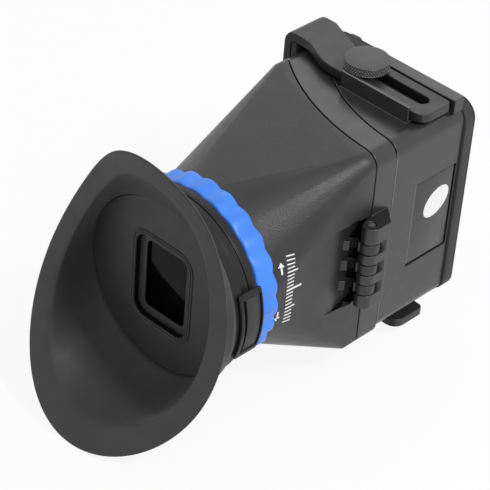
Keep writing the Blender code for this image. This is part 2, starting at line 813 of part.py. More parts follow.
def pin_hole():
    """Plan of the bore for the hinge pin."""
    return circle(HINGE_PIN_R + GAP, SMALL_STEPS, hinge_center())


def tongue_outline():
    """Plan of a housing tongue: its barrel and the arm to the scoop's floor."""
    along = Vector((math.cos(TONGUE_ANGLE), math.sin(TONGUE_ANGLE)))
    across = Vector((-along.y, along.x)) * (TONGUE_T / 2)
    end = Vector(hinge_center()) + along * TONGUE_REACH
    spread = math.asin(TONGUE_T / 2 / HINGE_R)
    first = TONGUE_ANGLE + spread
    last = TONGUE_ANGLE - spread + 2 * math.pi
    barrel = arc(hinge_center(), HINGE_R, first, last, HINGE_STEPS)
    return barrel + [tuple(end - across), tuple(end + across)]


def tongue_sweep_outline():
    """Plan of the room that a tongue sweeps outside its barrel as the housing flips open."""
    half = TONGUE_T / 2 + HINGE_CLEAR
    last = TONGUE_ANGLE + FLIP_RANGE - 2 * math.pi
    lead = last + math.asin(half / SLOT_REACH)
    first = -math.pi / 3
    points = arc((HINGE_X, HINGE_Y), SLOT_REACH, first, lead, ARC_STEPS)
    foot = (HINGE_X - half * math.sin(last), HINGE_Y + half * math.cos(last))
    return points + [foot, (HINGE_X, HINGE_Y)]


def leaf_outline():
    """Plan of the hinge leaf: its barrel and a raised block that ramps down to the case side."""
    inside = CASE_A - CASE_WALL / 2
    seam = housing_seam_y(inside) + SEAM_GAP
    barrel = arc(hinge_center(), HINGE_R, 4 * math.pi / 3, 2 * math.pi, HINGE_STEPS // 2)
    return barrel + [(HINGE_X + HINGE_R, LEAF_RAMP_Y), (CASE_A, LEAF_REAR_Y),
                     (inside, LEAF_REAR_Y), (inside, seam)]


def seam_direction(x):
    """Unit vector across the housing seam at one X, pointing to the eyecup."""
    middle_y = HOUSING_SEAM_Y + HOUSING_SEAM_R
    way = Vector((x - SEAM_ARC_X, housing_seam_y(x) - middle_y, 0.0))
    return way.normalized()


def magnet_boss(item, z, sign):
    """A boss with a magnet pocket at the seam; sign is 1 on the housing's side."""
    way = seam_direction(MAGNET_X) * sign
    face = Vector((MAGNET_X, housing_seam_y(MAGNET_X), z)) + way * (SEAM_GAP / 2)
    join(item, rod("magnet_boss", face - way * EMBED, face + way * MAGNET_BOSS_LENGTH,
                   MAGNET_BOSS_R))
    start = face + way * MAGNET_SKIN
    cut_end = face + way * (MAGNET_BOSS_LENGTH + OVERRUN)
    return start, cut_end


def magnet(name, z, sign, holder):
    """One disc magnet in its boss."""
    way = seam_direction(MAGNET_X) * sign
    face = Vector((MAGNET_X, housing_seam_y(MAGNET_X), z)) + way * (SEAM_GAP / 2 + MAGNET_SKIN + GAP)
    item = rod(name, face, face + way * MAGNET_T, MAGNET_R)
    return put(item, "steel", holder)


def middle_frame(holder):
    """The curved band between the seams, with the fixed half of the hinge."""
    front_y = HOUSING_SEAM_Y - OVERRUN
    rear_y = BOX_REAR_Y - GAP
    item = prism("middle_frame", [front_section(0.0), front_section(CASE_WALL)], front_y, rear_y, "Y")
    for x, z in post_places():
        rear = box_seam_y(x) - SEAM_GAP / 2
        join(item, rod("lug", (x, rear - LUG_T, z), (x, rear + LUG_T, z), LUG_R))
    pockets = [magnet_boss(item, z, -1) for z in (MAGNET_Z, -MAGNET_Z)]
    cut(item, seam_cutter("frame_front", housing_seam_y, SEAM_GAP / 2, True))
    cut(item, seam_cutter("frame_rear", box_seam_y, -SEAM_GAP / 2, False))
    join(item, prism("leaf", [leaf_outline(), pin_hole()], HINGE_BOTTOM_Z, HINGE_TOP_Z, "Z"))
    for start, end in pockets:
        cut(item, rod("magnet_pocket", start, end, MAGNET_R + GAP))
    for x, z in post_places():
        rear = box_seam_y(x)
        hole = CASE_SCREW_R + GAP
        cut(item, rod("lug_hole", (x, rear - LUG_T - OVERRUN, z), (x, rear + OVERRUN, z), hole))
    for low, high in knuckle_spans()[1::2]:
        low -= HINGE_CLEAR / 2
        high += HINGE_CLEAR / 2
        cut(item, hinge_barrel("knuckle_gap", low, high, HINGE_R + HINGE_CLEAR))
        cut(item, prism("sweep_gap", [tongue_sweep_outline()], low, high, "Z"))
    return put(item, "case_black", holder)


def hinge_pin(holder):
    """The steel pin through all seven knuckles."""
    item = hinge_barrel("hinge_pin", HINGE_BOTTOM_Z + GAP, HINGE_TOP_Z - GAP, HINGE_PIN_R)
    return put(item, "steel", holder)


def housing_rings(inset, front_y, rear_y):
    """Sections of the tapered housing, drawn in by a wall's thickness."""
    steps = LOFT_CORNER_STEPS
    rect = front_section(inset, steps)
    disc = rounded_rect(HOUSING_FRONT_R - inset, HOUSING_FRONT_R - inset,
                        HOUSING_FRONT_R - inset - EMBED, steps)
    front = [(x, front_y, z) for x, z in disc]
    shoulder = [(x, NECK_SHOULDER_Y, z) for x, z in disc]
    band = [(x, housing_seam_y(x) - HOUSING_BAND, z) for x, z in rect]
    rear = [(x, rear_y, z) for x, z in rect]
    rings = [shoulder, band, rear]
    if front_y < NECK_SHOULDER_Y:
        rings.insert(0, front)
    return rings


def scoop_ellipse(extra):
    """Plan of the scooped pocket that the hinge turns in."""
    shape = circle(1.0, INNER_STEPS)
    wide = SCOOP_DEPTH + extra
    long = SCOOP_HALF_LENGTH + extra
    middle_x = HINGE_X + SCOOP_SHIFT_X
    return [(middle_x + x * wide, HINGE_Y + y * long) for x, y in shape]


def housing(holder):
    """The tapered housing, hollow, with its neck, hinge scoop and tongues."""
    rear = BOX_REAR_Y
    item = loft("housing", housing_rings(0.0, NECK_SHOULDER_Y, rear))
    hollow_front = NECK_SHOULDER_Y + CASE_WALL
    void_rings = housing_rings(CASE_WALL, NECK_SHOULDER_Y, rear + OVERRUN)
    void = loft("housing_void", void_rings)
    low = HINGE_BOTTOM_Z - SCOOP_WALL - HINGE_CLEAR
    high = HINGE_TOP_Z + SCOOP_WALL + HINGE_CLEAR
    cut(void, prism("scoop_bulge", [scoop_ellipse(SCOOP_WALL)], low, high, "Z"))
    front_block = NECK_SHOULDER_Y - OVERRUN
    reach = HOUSING_FRONT_R + OVERRUN
    cut(void, box("front_wall", (-reach, front_block, -reach), (reach, hollow_front, reach)))
    cut(item, void)
    for z in (MAGNET_Z, -MAGNET_Z):
        start, end = magnet_boss(item, z, 1)
        cut(item, rod("magnet_pocket", start, end, MAGNET_R + GAP))
    cut(item, seam_cutter("housing_rear", housing_seam_y, -SEAM_GAP / 2, False))
    neck = rod("neck", (0.0, NECK_END_Y, 0.0), (0.0, hollow_front - EMBED, 0.0), NECK_R, ROUND_STEPS)
    join(item, neck)
    bore_start = (0.0, NECK_END_Y - OVERRUN, 0.0)
    bore_end = (0.0, hollow_front + OVERRUN, 0.0)
    cut(item, rod("neck_bore", bore_start, bore_end, NECK_BORE_R, ROUND_STEPS))
    low = HINGE_BOTTOM_Z - HINGE_CLEAR
    high = HINGE_TOP_Z + HINGE_CLEAR
    cut(item, prism("scoop", [scoop_ellipse(0.0)], low, high, "Z"))
    for low, high in knuckle_spans()[1::2]:
        low += HINGE_CLEAR / 2
        high -= HINGE_CLEAR / 2
        join(item, prism("tongue", [tongue_outline(), pin_hole()], low, high, "Z"))
    slot_low = PIN_REST_Y - CAM_TRAVEL - PIN_R - GAP
    slot_high = PIN_REST_Y + PIN_R + GAP
    for angle in pin_angles():
        slot = box("pin_slot", (-PIN_R - GAP, slot_low, NECK_BORE_R - OVERRUN),
                   (PIN_R + GAP, slot_high, NECK_R + OVERRUN))
        slot.rotation_euler = (0.0, angle, 0.0)
        cut(item, slot)
    return put(item, "case_black", holder)


def pin_angles():
    """Turns about Y from +Z towards +X for the cam pins."""
    return [2 * math.pi * index / PIN_COUNT for index in range(PIN_COUNT)]


def around(angle, radius, y):
    """A point on a circle about the optical axis."""
    return (radius * math.sin(angle), y, radius * math.cos(angle))


def scallop_radius(angle, crest, valley):
    """Radius of the scalloped grip: broad round crests with narrow valleys."""
    wave = abs(math.cos(RING_SCALLOPS * angle / 2))
    return valley + (crest - valley) * wave ** SCALLOP_POWER


def focus_ring(holder):
    """The scalloped ring with three helical cam grooves in its bore."""
    steps = RING_SCALLOPS * SCALLOP_STEPS
    angles = [2 * math.pi * index / steps for index in range(steps)]
    levels = [
        (RING_REAR_Y, RING_CREST_R - RING_EDGE, RING_VALLEY_R - RING_EDGE),
        (RING_REAR_Y - RING_EDGE, RING_CREST_R, RING_VALLEY_R),
        (RING_FRONT_Y + 2 * RING_EDGE, RING_FRONT_R + RING_EDGE / 2, RING_VALLEY_R),
        (RING_FRONT_Y, RING_FRONT_R - RING_EDGE / 2, RING_FRONT_R - RING_EDGE),
    ]
    rings = []
    for y, crest, valley in levels:
        rings.append([around(a, scallop_radius(a, crest, valley), y) for a in angles])
    for y in (RING_FRONT_Y, RING_REAR_Y):
        rings.append([around(a, RING_BORE_R, y) for a in angles])
    item = loft("focus_ring", rings, closed=True)
    half = PIN_R + GAP
    extra = (PIN_R + GAP) / CAM_DEPTH_R
    lead = CAM_TRAVEL / CAM_ANGLE
    for angle in pin_angles():
        sections = []
        for index in range(ARC_STEPS + 1):
            turn = -extra + (CAM_ANGLE + 2 * extra) * index / ARC_STEPS
            y = PIN_REST_Y - lead * turn
            place = angle - turn
            inner = RING_BORE_R - 2 * GAP
            sections.append([around(place, inner, y - half), around(place, CAM_DEPTH_R, y - half),
                             around(place, CAM_DEPTH_R, y + half), around(place, inner, y + half)])
        cut(item, loft("cam_groove", sections))
    return put(item, "ring_blue", holder)


def ring_keeper(holder):
    """The ring that keeps the focus ring on the neck."""
    rear = RING_FRONT_Y - GAP
    bore = NECK_R + GAP
    profile = [(KEEPER_R, rear), (KEEPER_R, rear - KEEPER_T), (bore, rear - KEEPER_T), (bore, rear)]
    return put(turned("ring_keeper", profile, steps=INNER_STEPS), "trim_black", holder)


def lens_barrel(holder):
    """The sliding tube that holds the lenses, with a front stop and a flange."""
    seat = BARREL_FRONT_Y + BARREL_STOP_T
    flange_front = FLANGE_REAR_Y - FLANGE_T
    profile = [
        (BARREL_R, BARREL_REAR_Y), (BARREL_R, FLANGE_REAR_Y), (FLANGE_R, FLANGE_REAR_Y),
        (FLANGE_R, flange_front), (BARREL_R, flange_front), (BARREL_R, BARREL_FRONT_Y),
        (BARREL_STOP_R, BARREL_FRONT_Y), (BARREL_STOP_R, seat),
        (BARREL_BORE_R, seat), (BARREL_BORE_R, BARREL_REAR_Y),
    ]
    item = turned("lens_barrel", profile, steps=INNER_STEPS)
    for angle in pin_angles():
        start = around(angle, BARREL_BORE_R + GAP, PIN_REST_Y)
        end = around(angle, BARREL_R + OVERRUN, PIN_REST_Y)
        cut(item, rod("pin_hole", start, end, PIN_R + GAP))
    return put(item, "trim_black", holder)


def cam_pins(holder):
    """The three pins that join the barrel to the cam grooves."""
    for index, angle in enumerate(pin_angles()):
        start = around(angle, BARREL_BORE_R + 2 * GAP, PIN_REST_Y)
        item = rod("cam_pin_%d" % (index + 1), start, around(angle, PIN_TIP_R, PIN_REST_Y), PIN_R)
        put(item, "steel", holder)


def lens(name, edge_front_y, crown, holder):
    """A biconvex lens; its crowns rise above a flat edge."""
    steps = LENS_STEPS
    bulge = (LENS_R ** 2 + crown ** 2) / (2 * crown)
    rear = []
    front = []
    for index in range(steps + 1):
        radius = LENS_R * index / steps
        rise = crown - (bulge - math.sqrt(bulge ** 2 - radius ** 2))
        rear.append((radius, edge_front_y + LENS_EDGE_T + rise))
        front.append((radius, edge_front_y - rise))
    profile = rear + front[::-1]
    return put(turned(name, profile, steps=INNER_STEPS), "lens_glass", holder)


def lens_spacer(holder):
    """The tube that parts the two lenses."""
    front = EYE_LENS_EDGE_Y + LENS_EDGE_T + LENS_SEAT_GAP
    rear = FIELD_LENS_EDGE_Y - LENS_SEAT_GAP
    inner = LENS_R - SPACER_WALL
    profile = [(LENS_R, rear), (LENS_R, front), (inner, front), (inner, rear)]
    return put(turned("lens_spacer", profile, steps=INNER_STEPS), "trim_black", holder)


def lens_retainer(holder):
    """The ring that closes the barrel behind the field lens."""
    front = FIELD_LENS_EDGE_Y + LENS_EDGE_T + LENS_SEAT_GAP
    rear = front + RETAINER_T
    inner = LENS_R - SPACER_WALL
    profile = [(LENS_R, rear), (LENS_R, front), (inner, front), (inner, rear)]
    return put(turned("lens_retainer", profile, steps=INNER_STEPS), "trim_black", holder)


def eyepiece_collar(holder):
    """The collar that covers the keeper and carries the face plate."""
    web_rear = COLLAR_FRONT_Y + COLLAR_WEB_T
    low = COLLAR_GROOVE_Y - COLLAR_GROOVE_W / 2
    high = COLLAR_GROOVE_Y + COLLAR_GROOVE_W / 2
    floor = COLLAR_R - COLLAR_GROOVE_DEPTH
    bore = BARREL_R + GAP
    profile = [
        (COLLAR_R, COLLAR_REAR_Y), (COLLAR_R, high), (floor, high), (floor, low),
        (COLLAR_R, low), (COLLAR_R, COLLAR_FRONT_Y), (bore, COLLAR_FRONT_Y), (bore, web_rear),
        (COLLAR_BORE_R, web_rear), (COLLAR_BORE_R, COLLAR_REAR_Y),
    ]
    return put(turned("eyepiece_collar", profile), "trim_black", holder)


def clip_loop(half_angle, low_y, high_y, radius):
    """A curved rectangle on a cylinder, centred on +X, as arc rows."""
    steps = CLIP_STEPS
    rows = []
    for y in (low_y, high_y):
        row = []
        for index in range(steps + 1):
            angle = math.pi / 2 + half_angle - 2 * half_angle * index / steps
            row.append(around(angle, radius, y))
        rows.append(row)
    return rows


def clip_block(name, half_angle, low_y, high_y, inner_r, outer_r):
    """A curved block between two radii."""
    inner = clip_loop(half_angle, low_y, high_y, inner_r)
    outer = clip_loop(half_angle, low_y, high_y, outer_r)
    rings = []
    for index in range(len(inner[0])):
        rings.append([inner[0][index], outer[0][index], outer[1][index], inner[1][index]])
    return loft(name, rings)


def eyepiece_clips(holder):
    """The two raised window clips on the collar, at the hinge side and opposite."""
    inner_r = COLLAR_R + GAP
    outer_r = inner_r + CLIP_T
    for name, turn in (("eyepiece_clip_right", 0.0), ("eyepiece_clip_left", math.pi)):
        item = clip_block(name, CLIP_HALF_ANGLE, CLIP_FRONT_Y, COLLAR_REAR_Y, inner_r, outer_r)
        window = clip_block("clip_window", CLIP_HALF_ANGLE - CLIP_BAR_ANGLE,
                            CLIP_FRONT_Y + CLIP_BAR, COLLAR_REAR_Y - CLIP_BAR,
                            inner_r - OVERRUN, outer_r + OVERRUN)
        item.rotation_euler = (0.0, turn, 0.0)
        window.rotation_euler = (0.0, turn, 0.0)
        cut(item, window)
        put(item, "trim_black", holder)


def face_plate(holder):
    """The disc round the window, with a stepped opening and a boss for the pane."""
    rear = FACE_Y + FACE_T
    hub_rear = COLLAR_FRONT_Y - GAP
    hub_in = FACE_HUB_R - FACE_HUB_WALL
    profile = [(0.0, rear), (hub_in, rear), (hub_in, hub_rear), (FACE_HUB_R, hub_rear),
               (FACE_HUB_R, rear), (FACE_R, rear), (FACE_R, FACE_Y), (0.0, FACE_Y)]
    item = turned("face_plate", profile)
    boss = rounded_rect(WINDOW_W / 2 + BOSS_RIM, WINDOW_H / 2 + BOSS_RIM, WINDOW_CORNER + BOSS_RIM)
    join(item, prism("window_boss", [boss], FACE_Y + EMBED, BOSS_REAR_Y, "Y"))
    window = rounded_rect(WINDOW_W / 2, WINDOW_H / 2, WINDOW_CORNER)
    cut(item, prism("window_hole", [window], FACE_Y - OVERRUN, FACE_Y + WINDOW_STEP, "Y"))
    return cut_face(item, holder)


def cut_face(item, holder):
    """Cut the ledge and the pane's pocket."""
    ledge = rounded_rect(LEDGE_W / 2, LEDGE_H / 2, LEDGE_CORNER)
    cut(item, prism("ledge_hole", [ledge], FACE_Y - OVERRUN, BOSS_REAR_Y + OVERRUN, "Y"))
    pocket = rounded_rect(PANE_W / 2 + GAP, PANE_H / 2 + GAP, PANE_CORNER)
    pocket_front = FACE_Y + WINDOW_STEP + LEDGE_T
    cut(item, prism("pane_pocket", [pocket], pocket_front, BOSS_REAR_Y + OVERRUN, "Y"))
    return put(item, "trim_black", holder)


def window_pane(holder):
    """The clear pane behind the ledge."""
    outline = rounded_rect(PANE_W / 2, PANE_H / 2, PANE_CORNER)
    item = prism("window_pane", [outline], PANE_FRONT_Y, PANE_FRONT_Y + PANE_T, "Y")
    return put(item, "lens_glass", holder)


def rim_point(angle, inset):
    """A point of the eyecup's rim; inset draws the curve in towards the axis."""
    near_tip = 0.5 + 0.5 * math.cos(angle)
    narrowing = RIM_POINT_SHARE * near_tip ** RIM_POINT_POWER
    narrowing -= RIM_BLUNT_SHARE * near_tip ** RIM_BLUNT_POWER
    up = RIM_SHIFT + (RIM_HALF_LENGTH - inset) * math.cos(angle)
    side = (RIM_HALF_WIDTH - inset) * math.sin(angle) * (1 - narrowing)
    along = up / RIM_SPAN
    across = side / RIM_SPAN
    y = RIM_Y + RIM_TILT * along + RIM_BOW * along ** 2 + RIM_SIDE_BOW * across ** 2
    return (side, y, up)


def offset_skin(rings, distance, last_distance):
    """The rings of a skin moved along its normals, away from the axis and to the rear."""
    count = len(rings[0])
    last = len(rings) - 1
    moved = []
    for index, ring in enumerate(rings):
        before = rings[max(index - 1, 0)]
        after = rings[min(index + 1, last)]
        row = []
        for column in range(count):
            along = Vector(after[column]) - Vector(before[column])
            across = Vector(ring[(column + 1) % count]) - Vector(ring[column - 1])
            normal = along.cross(across).normalized()
            reach = last_distance if index == last else distance
            row.append(tuple(Vector(ring[column]) + normal * reach))
        moved.append(row)
    return moved


def eyecup(holder):
    """The soft eyecup: neck, seat, bowl and a broad flat lip."""
    angles = [2 * math.pi * index / CUP_STEPS for index in range(CUP_STEPS)]

    def level(radius, y):
        return [around(a, radius, y) for a in angles]

    seat_r = FACE_R + GAP
    seat = [level(EYECUP_NECK_R, EYECUP_NECK_Y), level(EYECUP_NECK_R, EYECUP_SEAT_Y),
            level(seat_r, EYECUP_SEAT_Y)]
    root = level(seat_r, EYECUP_BOWL_Y)
    lip = [rim_point(a, LIP_W) for a in angles]
    skin = [root]
    for out_share, forward_share in BOWL_SHARES:
        ring = []
        for start, end in zip(root, lip):
            x = start[0] + (end[0] - start[0]) * out_share
            y = start[1] + (end[1] - start[1]) * forward_share
            z = start[2] + (end[2] - start[2]) * out_share
            ring.append((x, y, z))
        skin.append(ring)
    skin += [lip, [rim_point(a, 0.0) for a in angles]]
    back = offset_skin(skin, EYECUP_WALL, EYECUP_LIP_T)[1:]
    neck = [level(EYECUP_OUTER_R, EYECUP_SEAT_Y - EYECUP_WALL / 2), level(EYECUP_OUTER_R, EYECUP_NECK_Y)]
    item = loft("eyecup", seat + skin + back[::-1] + neck, closed=True)
    item.rotation_euler = (0.0, EYECUP_TURN, 0.0)
    return put(item, "rubber_black", holder)


def arm_outline():
    """Plan of the bracket: straight slotted arms, a tail that steps back, and the base plate."""
    front = ARM_FRONT_Y
    rear = ARM_REAR_Y
    corner = ARM_END_R
    small = ARM_END_R / 2
    quarter = math.pi / 2
    left = WEB_OUTER_X - OVERRUN
    points = [(left, ARM_TAIL_FRONT_Y), (ARM_TAIL_X, ARM_TAIL_FRONT_Y)]
    blend = ARM_SHOULDER_X - ARM_TAIL_X
    step = front - ARM_TAIL_FRONT_Y
    for index in range(1, CORNER_STEPS + 1):
        share = index / (CORNER_STEPS + 1)
        ease = (1 - math.cos(math.pi * share)) / 2
        points.append((ARM_TAIL_X + blend * share, ARM_TAIL_FRONT_Y + step * ease))
    points.append((ARM_SHOULDER_X, front))
    points += arc((ARM_RIGHT_X - corner, front + corner), corner, -quarter, 0.0, CORNER_STEPS)
    points += arc((ARM_RIGHT_X - small, rear - small), small, 0.0, quarter, CORNER_STEPS)
    points.append((ARM_SHOULDER_X, rear))
    points.append((ARM_TAIL_X, ARM_TAIL_REAR_Y))
    foot = WEB_INNER_X + BEND_INNER_R
    points += [(foot, ARM_TAIL_REAR_Y), (foot, PLATE_REAR_Y), (left, PLATE_REAR_Y)]
    return points


def plate_outline():
    """Side view of the bracket: the web at full height and the base plate behind it."""
    quarter = math.pi / 2
    fillet = PLATE_CORNER / 2
    front = ARM_FRONT_Y - OVERRUN
    corner = (PLATE_REAR_Y - PLATE_CORNER, PLATE_HALF_Z - PLATE_CORNER)
    inner = (ARM_TAIL_REAR_Y + fillet, PLATE_HALF_Z + fillet)
    half = arc(corner, PLATE_CORNER, 0.0, quarter, CORNER_STEPS)
    half += arc(inner, fillet, 3 * quarter, 2 * quarter, CORNER_STEPS)
    upper = half + [(ARM_TAIL_REAR_Y, ARM_TOP[1] + OVERRUN), (front, ARM_TOP[1] + OVERRUN)]
    lower = half + [(ARM_TAIL_REAR_Y, ARM_TOP[-1] + OVERRUN), (front, ARM_TOP[-1] + OVERRUN)]
    return upper + [(y, -z) for y, z in lower][::-1]


def strap_outline():
    """Section of the bent strap in X and Z: the web, two bends and both arms."""
    outer_r = BEND_INNER_R + ARM_T
    quarter = math.pi / 2
    end = ARM_RIGHT_X + OVERRUN
    upper = (WEB_OUTER_X + outer_r, ARM_TOP[1] - outer_r)
    lower = (WEB_OUTER_X + outer_r, outer_r - ARM_TOP[-1])
    points = [(end, ARM_TOP[1])]
    points += arc(upper, outer_r, quarter, 2 * quarter, CORNER_STEPS)
    points += arc(lower, outer_r, 2 * quarter, 3 * quarter, CORNER_STEPS)
    points += [(end, -ARM_TOP[-1]), (end, ARM_T - ARM_TOP[-1])]
    points += arc(lower, BEND_INNER_R, 3 * quarter, 2 * quarter, CORNER_STEPS // 2)
    points += arc(upper, BEND_INNER_R, 2 * quarter, quarter, CORNER_STEPS // 2)
    points.append((end, ARM_TOP[1] - ARM_T))
    return points


def bracket(holder):
    """The U bracket as what its three views have in common, with its slots."""
    front = ARM_FRONT_Y - OVERRUN
    item = prism("bracket", [strap_outline()], front, PLATE_REAR_Y + OVERRUN, "Y")
    top = ARM_TOP[1] + OVERRUN / 2
    bottom = -ARM_TOP[-1] - OVERRUN / 2
    keep_common(item, prism("plan_view", [arm_outline()], bottom, top, "Z"))
    side = prism("side_view", [plate_outline()], WEB_OUTER_X - OVERRUN / 2, ARM_RIGHT_X + OVERRUN, "X")
    keep_common(item, side)
    slot = stadium((SLOT_LEFT_X, SLOT_Y), (SLOT_RIGHT_X, SLOT_Y), SLOT_W)
    cut(item, prism("arm_slots", [slot], bottom - OVERRUN, top + OVERRUN, "Z"))
    slot = stadium((PLATE_SLOT_Y, -PLATE_SLOT_HALF), (PLATE_SLOT_Y, PLATE_SLOT_HALF), PLATE_SLOT_W)
    low = WEB_OUTER_X - OVERRUN
    cut(item, prism("plate_slot", [slot], low, WEB_INNER_X + OVERRUN, "X"))
    return put(item, "case_black", holder)


def knurled(radius, tooth, teeth, center):
    """A knurled outline: small flat-topped teeth."""
    points = []
    for index in range(teeth):
        start = 2 * math.pi * index / teeth
        pitch = 2 * math.pi / teeth
        for share, reach in ((0.0, radius), (0.55, radius), (0.775, radius - tooth)):
            angle = start + pitch * share
            points.append((center[0] + reach * math.cos(angle), center[1] + reach * math.sin(angle)))
    return points


def thumbscrew(name, sign, holder):
    """A knurled thumbscrew with its shank, above or below."""
    face = ARM_TOP[sign] + 2 * WASHER_GAP + WASHER_T
    ends = sorted((sign * face, sign * (face + KNOB_T)))
    outline = knurled(KNOB_R, KNOB_TOOTH, KNOB_TEETH, (KNOB_X, SLOT_Y))
    item = prism(name, [outline], ends[0], ends[1], "Z")
    start = (KNOB_X, SLOT_Y, sign * (ARM_TOP[1] - KNOB_SHANK_LENGTH))
    end = (KNOB_X, SLOT_Y, sign * (face + EMBED))
    join(item, rod(name + "_shank", start, end, KNOB_SHANK_R))
    return put(item, "trim_black", holder)


def washer(name, sign, holder):
    """The washer under a thumbscrew's head."""
    low = ARM_TOP[sign] + WASHER_GAP
    ends = sorted((sign * low, sign * (low + WASHER_T)))
    rim = circle(WASHER_R, 2 * SMALL_STEPS, (KNOB_X, SLOT_Y))
    hole = circle(KNOB_SHANK_R + GAP, SMALL_STEPS, (KNOB_X, SLOT_Y))
    return put(prism(name, [rim, hole], ends[0], ends[1], "Z"), "steel", holder)


def insert(name, sign, holder):
    """The brass insert in the box wall that a thumbscrew turns in."""
    top = BED[1] - GAP
    ends = sorted((sign * (top - INSERT_DEPTH), sign * top))
    rim = circle(INSERT_R, SMALL_STEPS, (KNOB_X, SLOT_Y))
    hole = circle(KNOB_SHANK_R + GAP, SMALL_STEPS, (KNOB_X, SLOT_Y))
    return put(prism(name, [rim, hole], ends[0], ends[1], "Z"), "brass", holder)


def camera_screw(holder):
    """The screw that holds the camera on the base plate."""
    head_top = WEB_OUTER_X - 2 * WASHER_GAP - WASHER_T
    outline = knurled(CAMERA_HEAD_R, KNOB_TOOTH, CAMERA_TEETH, (PLATE_SLOT_Y, 0.0))
    item = prism("camera_screw", [outline], head_top - CAMERA_HEAD_T, head_top, "X")
    start = (head_top - EMBED, PLATE_SLOT_Y, 0.0)
    end = (WEB_INNER_X + CAMERA_SHANK_OUT, PLATE_SLOT_Y, 0.0)
    join(item, rod("camera_shank", start, end, CAMERA_SHANK_R))
    return put(item, "steel", holder)


def camera_washer(holder):
    """The washer between the plate and the camera screw's head."""
    high = WEB_OUTER_X - WASHER_GAP
    rim = circle(WASHER_R, 2 * SMALL_STEPS, (PLATE_SLOT_Y, 0.0))
    hole = circle(CAMERA_SHANK_R + GAP, SMALL_STEPS, (PLATE_SLOT_Y, 0.0))
    item = prism("camera_washer", [rim, hole], high - WASHER_T, high, "X")
    return put(item, "steel", holder)


def camera_clip(holder):
    """The ring that keeps the camera screw from falling out of its slot."""
    low = WEB_INNER_X + WASHER_GAP
    rim = circle(CLIP_RING_R, 2 * SMALL_STEPS, (PLATE_SLOT_Y, 0.0))
    hole = circle(CAMERA_SHANK_R + GAP, SMALL_STEPS, (PLATE_SLOT_Y, 0.0))
    item = prism("camera_clip", [rim, hole], low, low + CLIP_RING_T, "X")
    return put(item, "steel", holder)


def case_screws(holder):
    """The four screws that join the middle frame to the box."""
    for index, (x, z) in enumerate(post_places()):
        seat = box_seam_y(x) - SEAM_GAP / 2 - LUG_T - GAP
        item = rod("case_screw_%d" % (index + 1), (x, seat - CASE_SCREW_HEAD_T, z), (x, seat, z),
                   CASE_SCREW_HEAD_R)
        join(item, rod("screw_shank", (x, seat - EMBED, z), (x, seat + CASE_SCREW_LENGTH, z),
                       CASE_SCREW_R))
        put(item, "steel", holder)


def build():
    """Make every empty and piece, then set the world origin under the part's middle."""
    root = empty("loupe_root", (0.0, 0.0, 0.0))
    flip = empty("flip_axis", (HINGE_X, HINGE_Y, 0.0), root)
    focus = empty("focus_axis", (0.0, RING_REAR_Y, 0.0), flip)
    slide = empty("barrel_slide", (0.0, BARREL_REAR_Y, 0.0), flip)
    cup = empty("eyecup_axis", (0.0, EYECUP_NECK_Y, 0.0), slide)
    carriage = empty("bracket_slide", (WEB_OUTER_X, SLOT_Y, 0.0), root)
    screw_slide = empty("camera_screw_slide", (WEB_OUTER_X, PLATE_SLOT_Y, 0.0), carriage)
    screw_turn = empty("camera_screw_axis", (WEB_OUTER_X, PLATE_SLOT_Y, 0.0), screw_slide)
    knobs = {
        1: empty("top_knob_axis", (KNOB_X, SLOT_Y, ARM_TOP[1]), root),
        -1: empty("bottom_knob_axis", (KNOB_X, SLOT_Y, -ARM_TOP[-1]), root),
    }
    rear_gasket(root)
    rear_box(root)
    screen_mask(root)
    side_cover(root)
    middle_frame(root)
    hinge_pin(root)
    case_screws(root)
    for label, z in (("upper", MAGNET_Z), ("lower", -MAGNET_Z)):
        magnet("frame_magnet_" + label, z, -1, root)
        magnet("housing_magnet_" + label, z, 1, flip)
    housing(flip)
    ring_keeper(flip)
    focus_ring(focus)
    lens_barrel(slide)
    cam_pins(slide)
    lens("eye_lens", EYE_LENS_EDGE_Y, EYE_LENS_CROWN, slide)
    lens("field_lens", FIELD_LENS_EDGE_Y, FIELD_LENS_CROWN, slide)
    lens_spacer(slide)
    lens_retainer(slide)
    eyepiece_collar(slide)
    eyepiece_clips(slide)
    face_plate(slide)
    window_pane(slide)
    eyecup(cup)
    bracket(carriage)
    camera_washer(screw_slide)
    camera_screw(screw_turn)
    camera_clip(screw_turn)
    for label, sign in (("top", 1), ("bottom", -1)):
        thumbscrew("thumbscrew_" + label, sign, knobs[sign])
        washer("washer_" + label, sign, root)
        insert("insert_" + label, sign, root)
    settle_origin(root)


def settle_origin(root):
    """Move the root so that the origin is under the middle of the whole part."""
    bpy.context.view_layer.update()
    graph = bpy.context.evaluated_depsgraph_get()
    low = Vector((math.inf, math.inf, math.inf))
    high = -low
    for item in PARTS.objects:
        if item.type != "MESH":
            continue
        shown = item.evaluated_get(graph)
        for vert in shown.data.vertices:
            place = shown.matrix_world @ vert.co
            low = Vector(map(min, low, place))
            high = Vector(map(max, high, place))
    root.location = (-(low.x + high.x) / 2, -(low.y + high.y) / 2, -low.z)
    print("screen centre at", tuple(round(value, 6) for value in root.location))
    print("size", tuple(round(value, 6) for value in high - low))


build()
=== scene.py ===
"""Flip-up LCD viewfinder loupe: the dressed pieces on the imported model, and a plain studio.

Places are given in millimetres from the centre of the screen frame's rear face, as on the
drawing: X to the hinge side, Y from the eyecup to the camera's screen, Z along the long side.
"""

import math

import bmesh
import bpy
from bpy.props import FloatProperty, FloatVectorProperty, IntProperty, PointerProperty
from bpy.types import Operator, Panel, PropertyGroup
from mathutils import Matrix, Vector
from mathutils.bvhtree import BVHTree


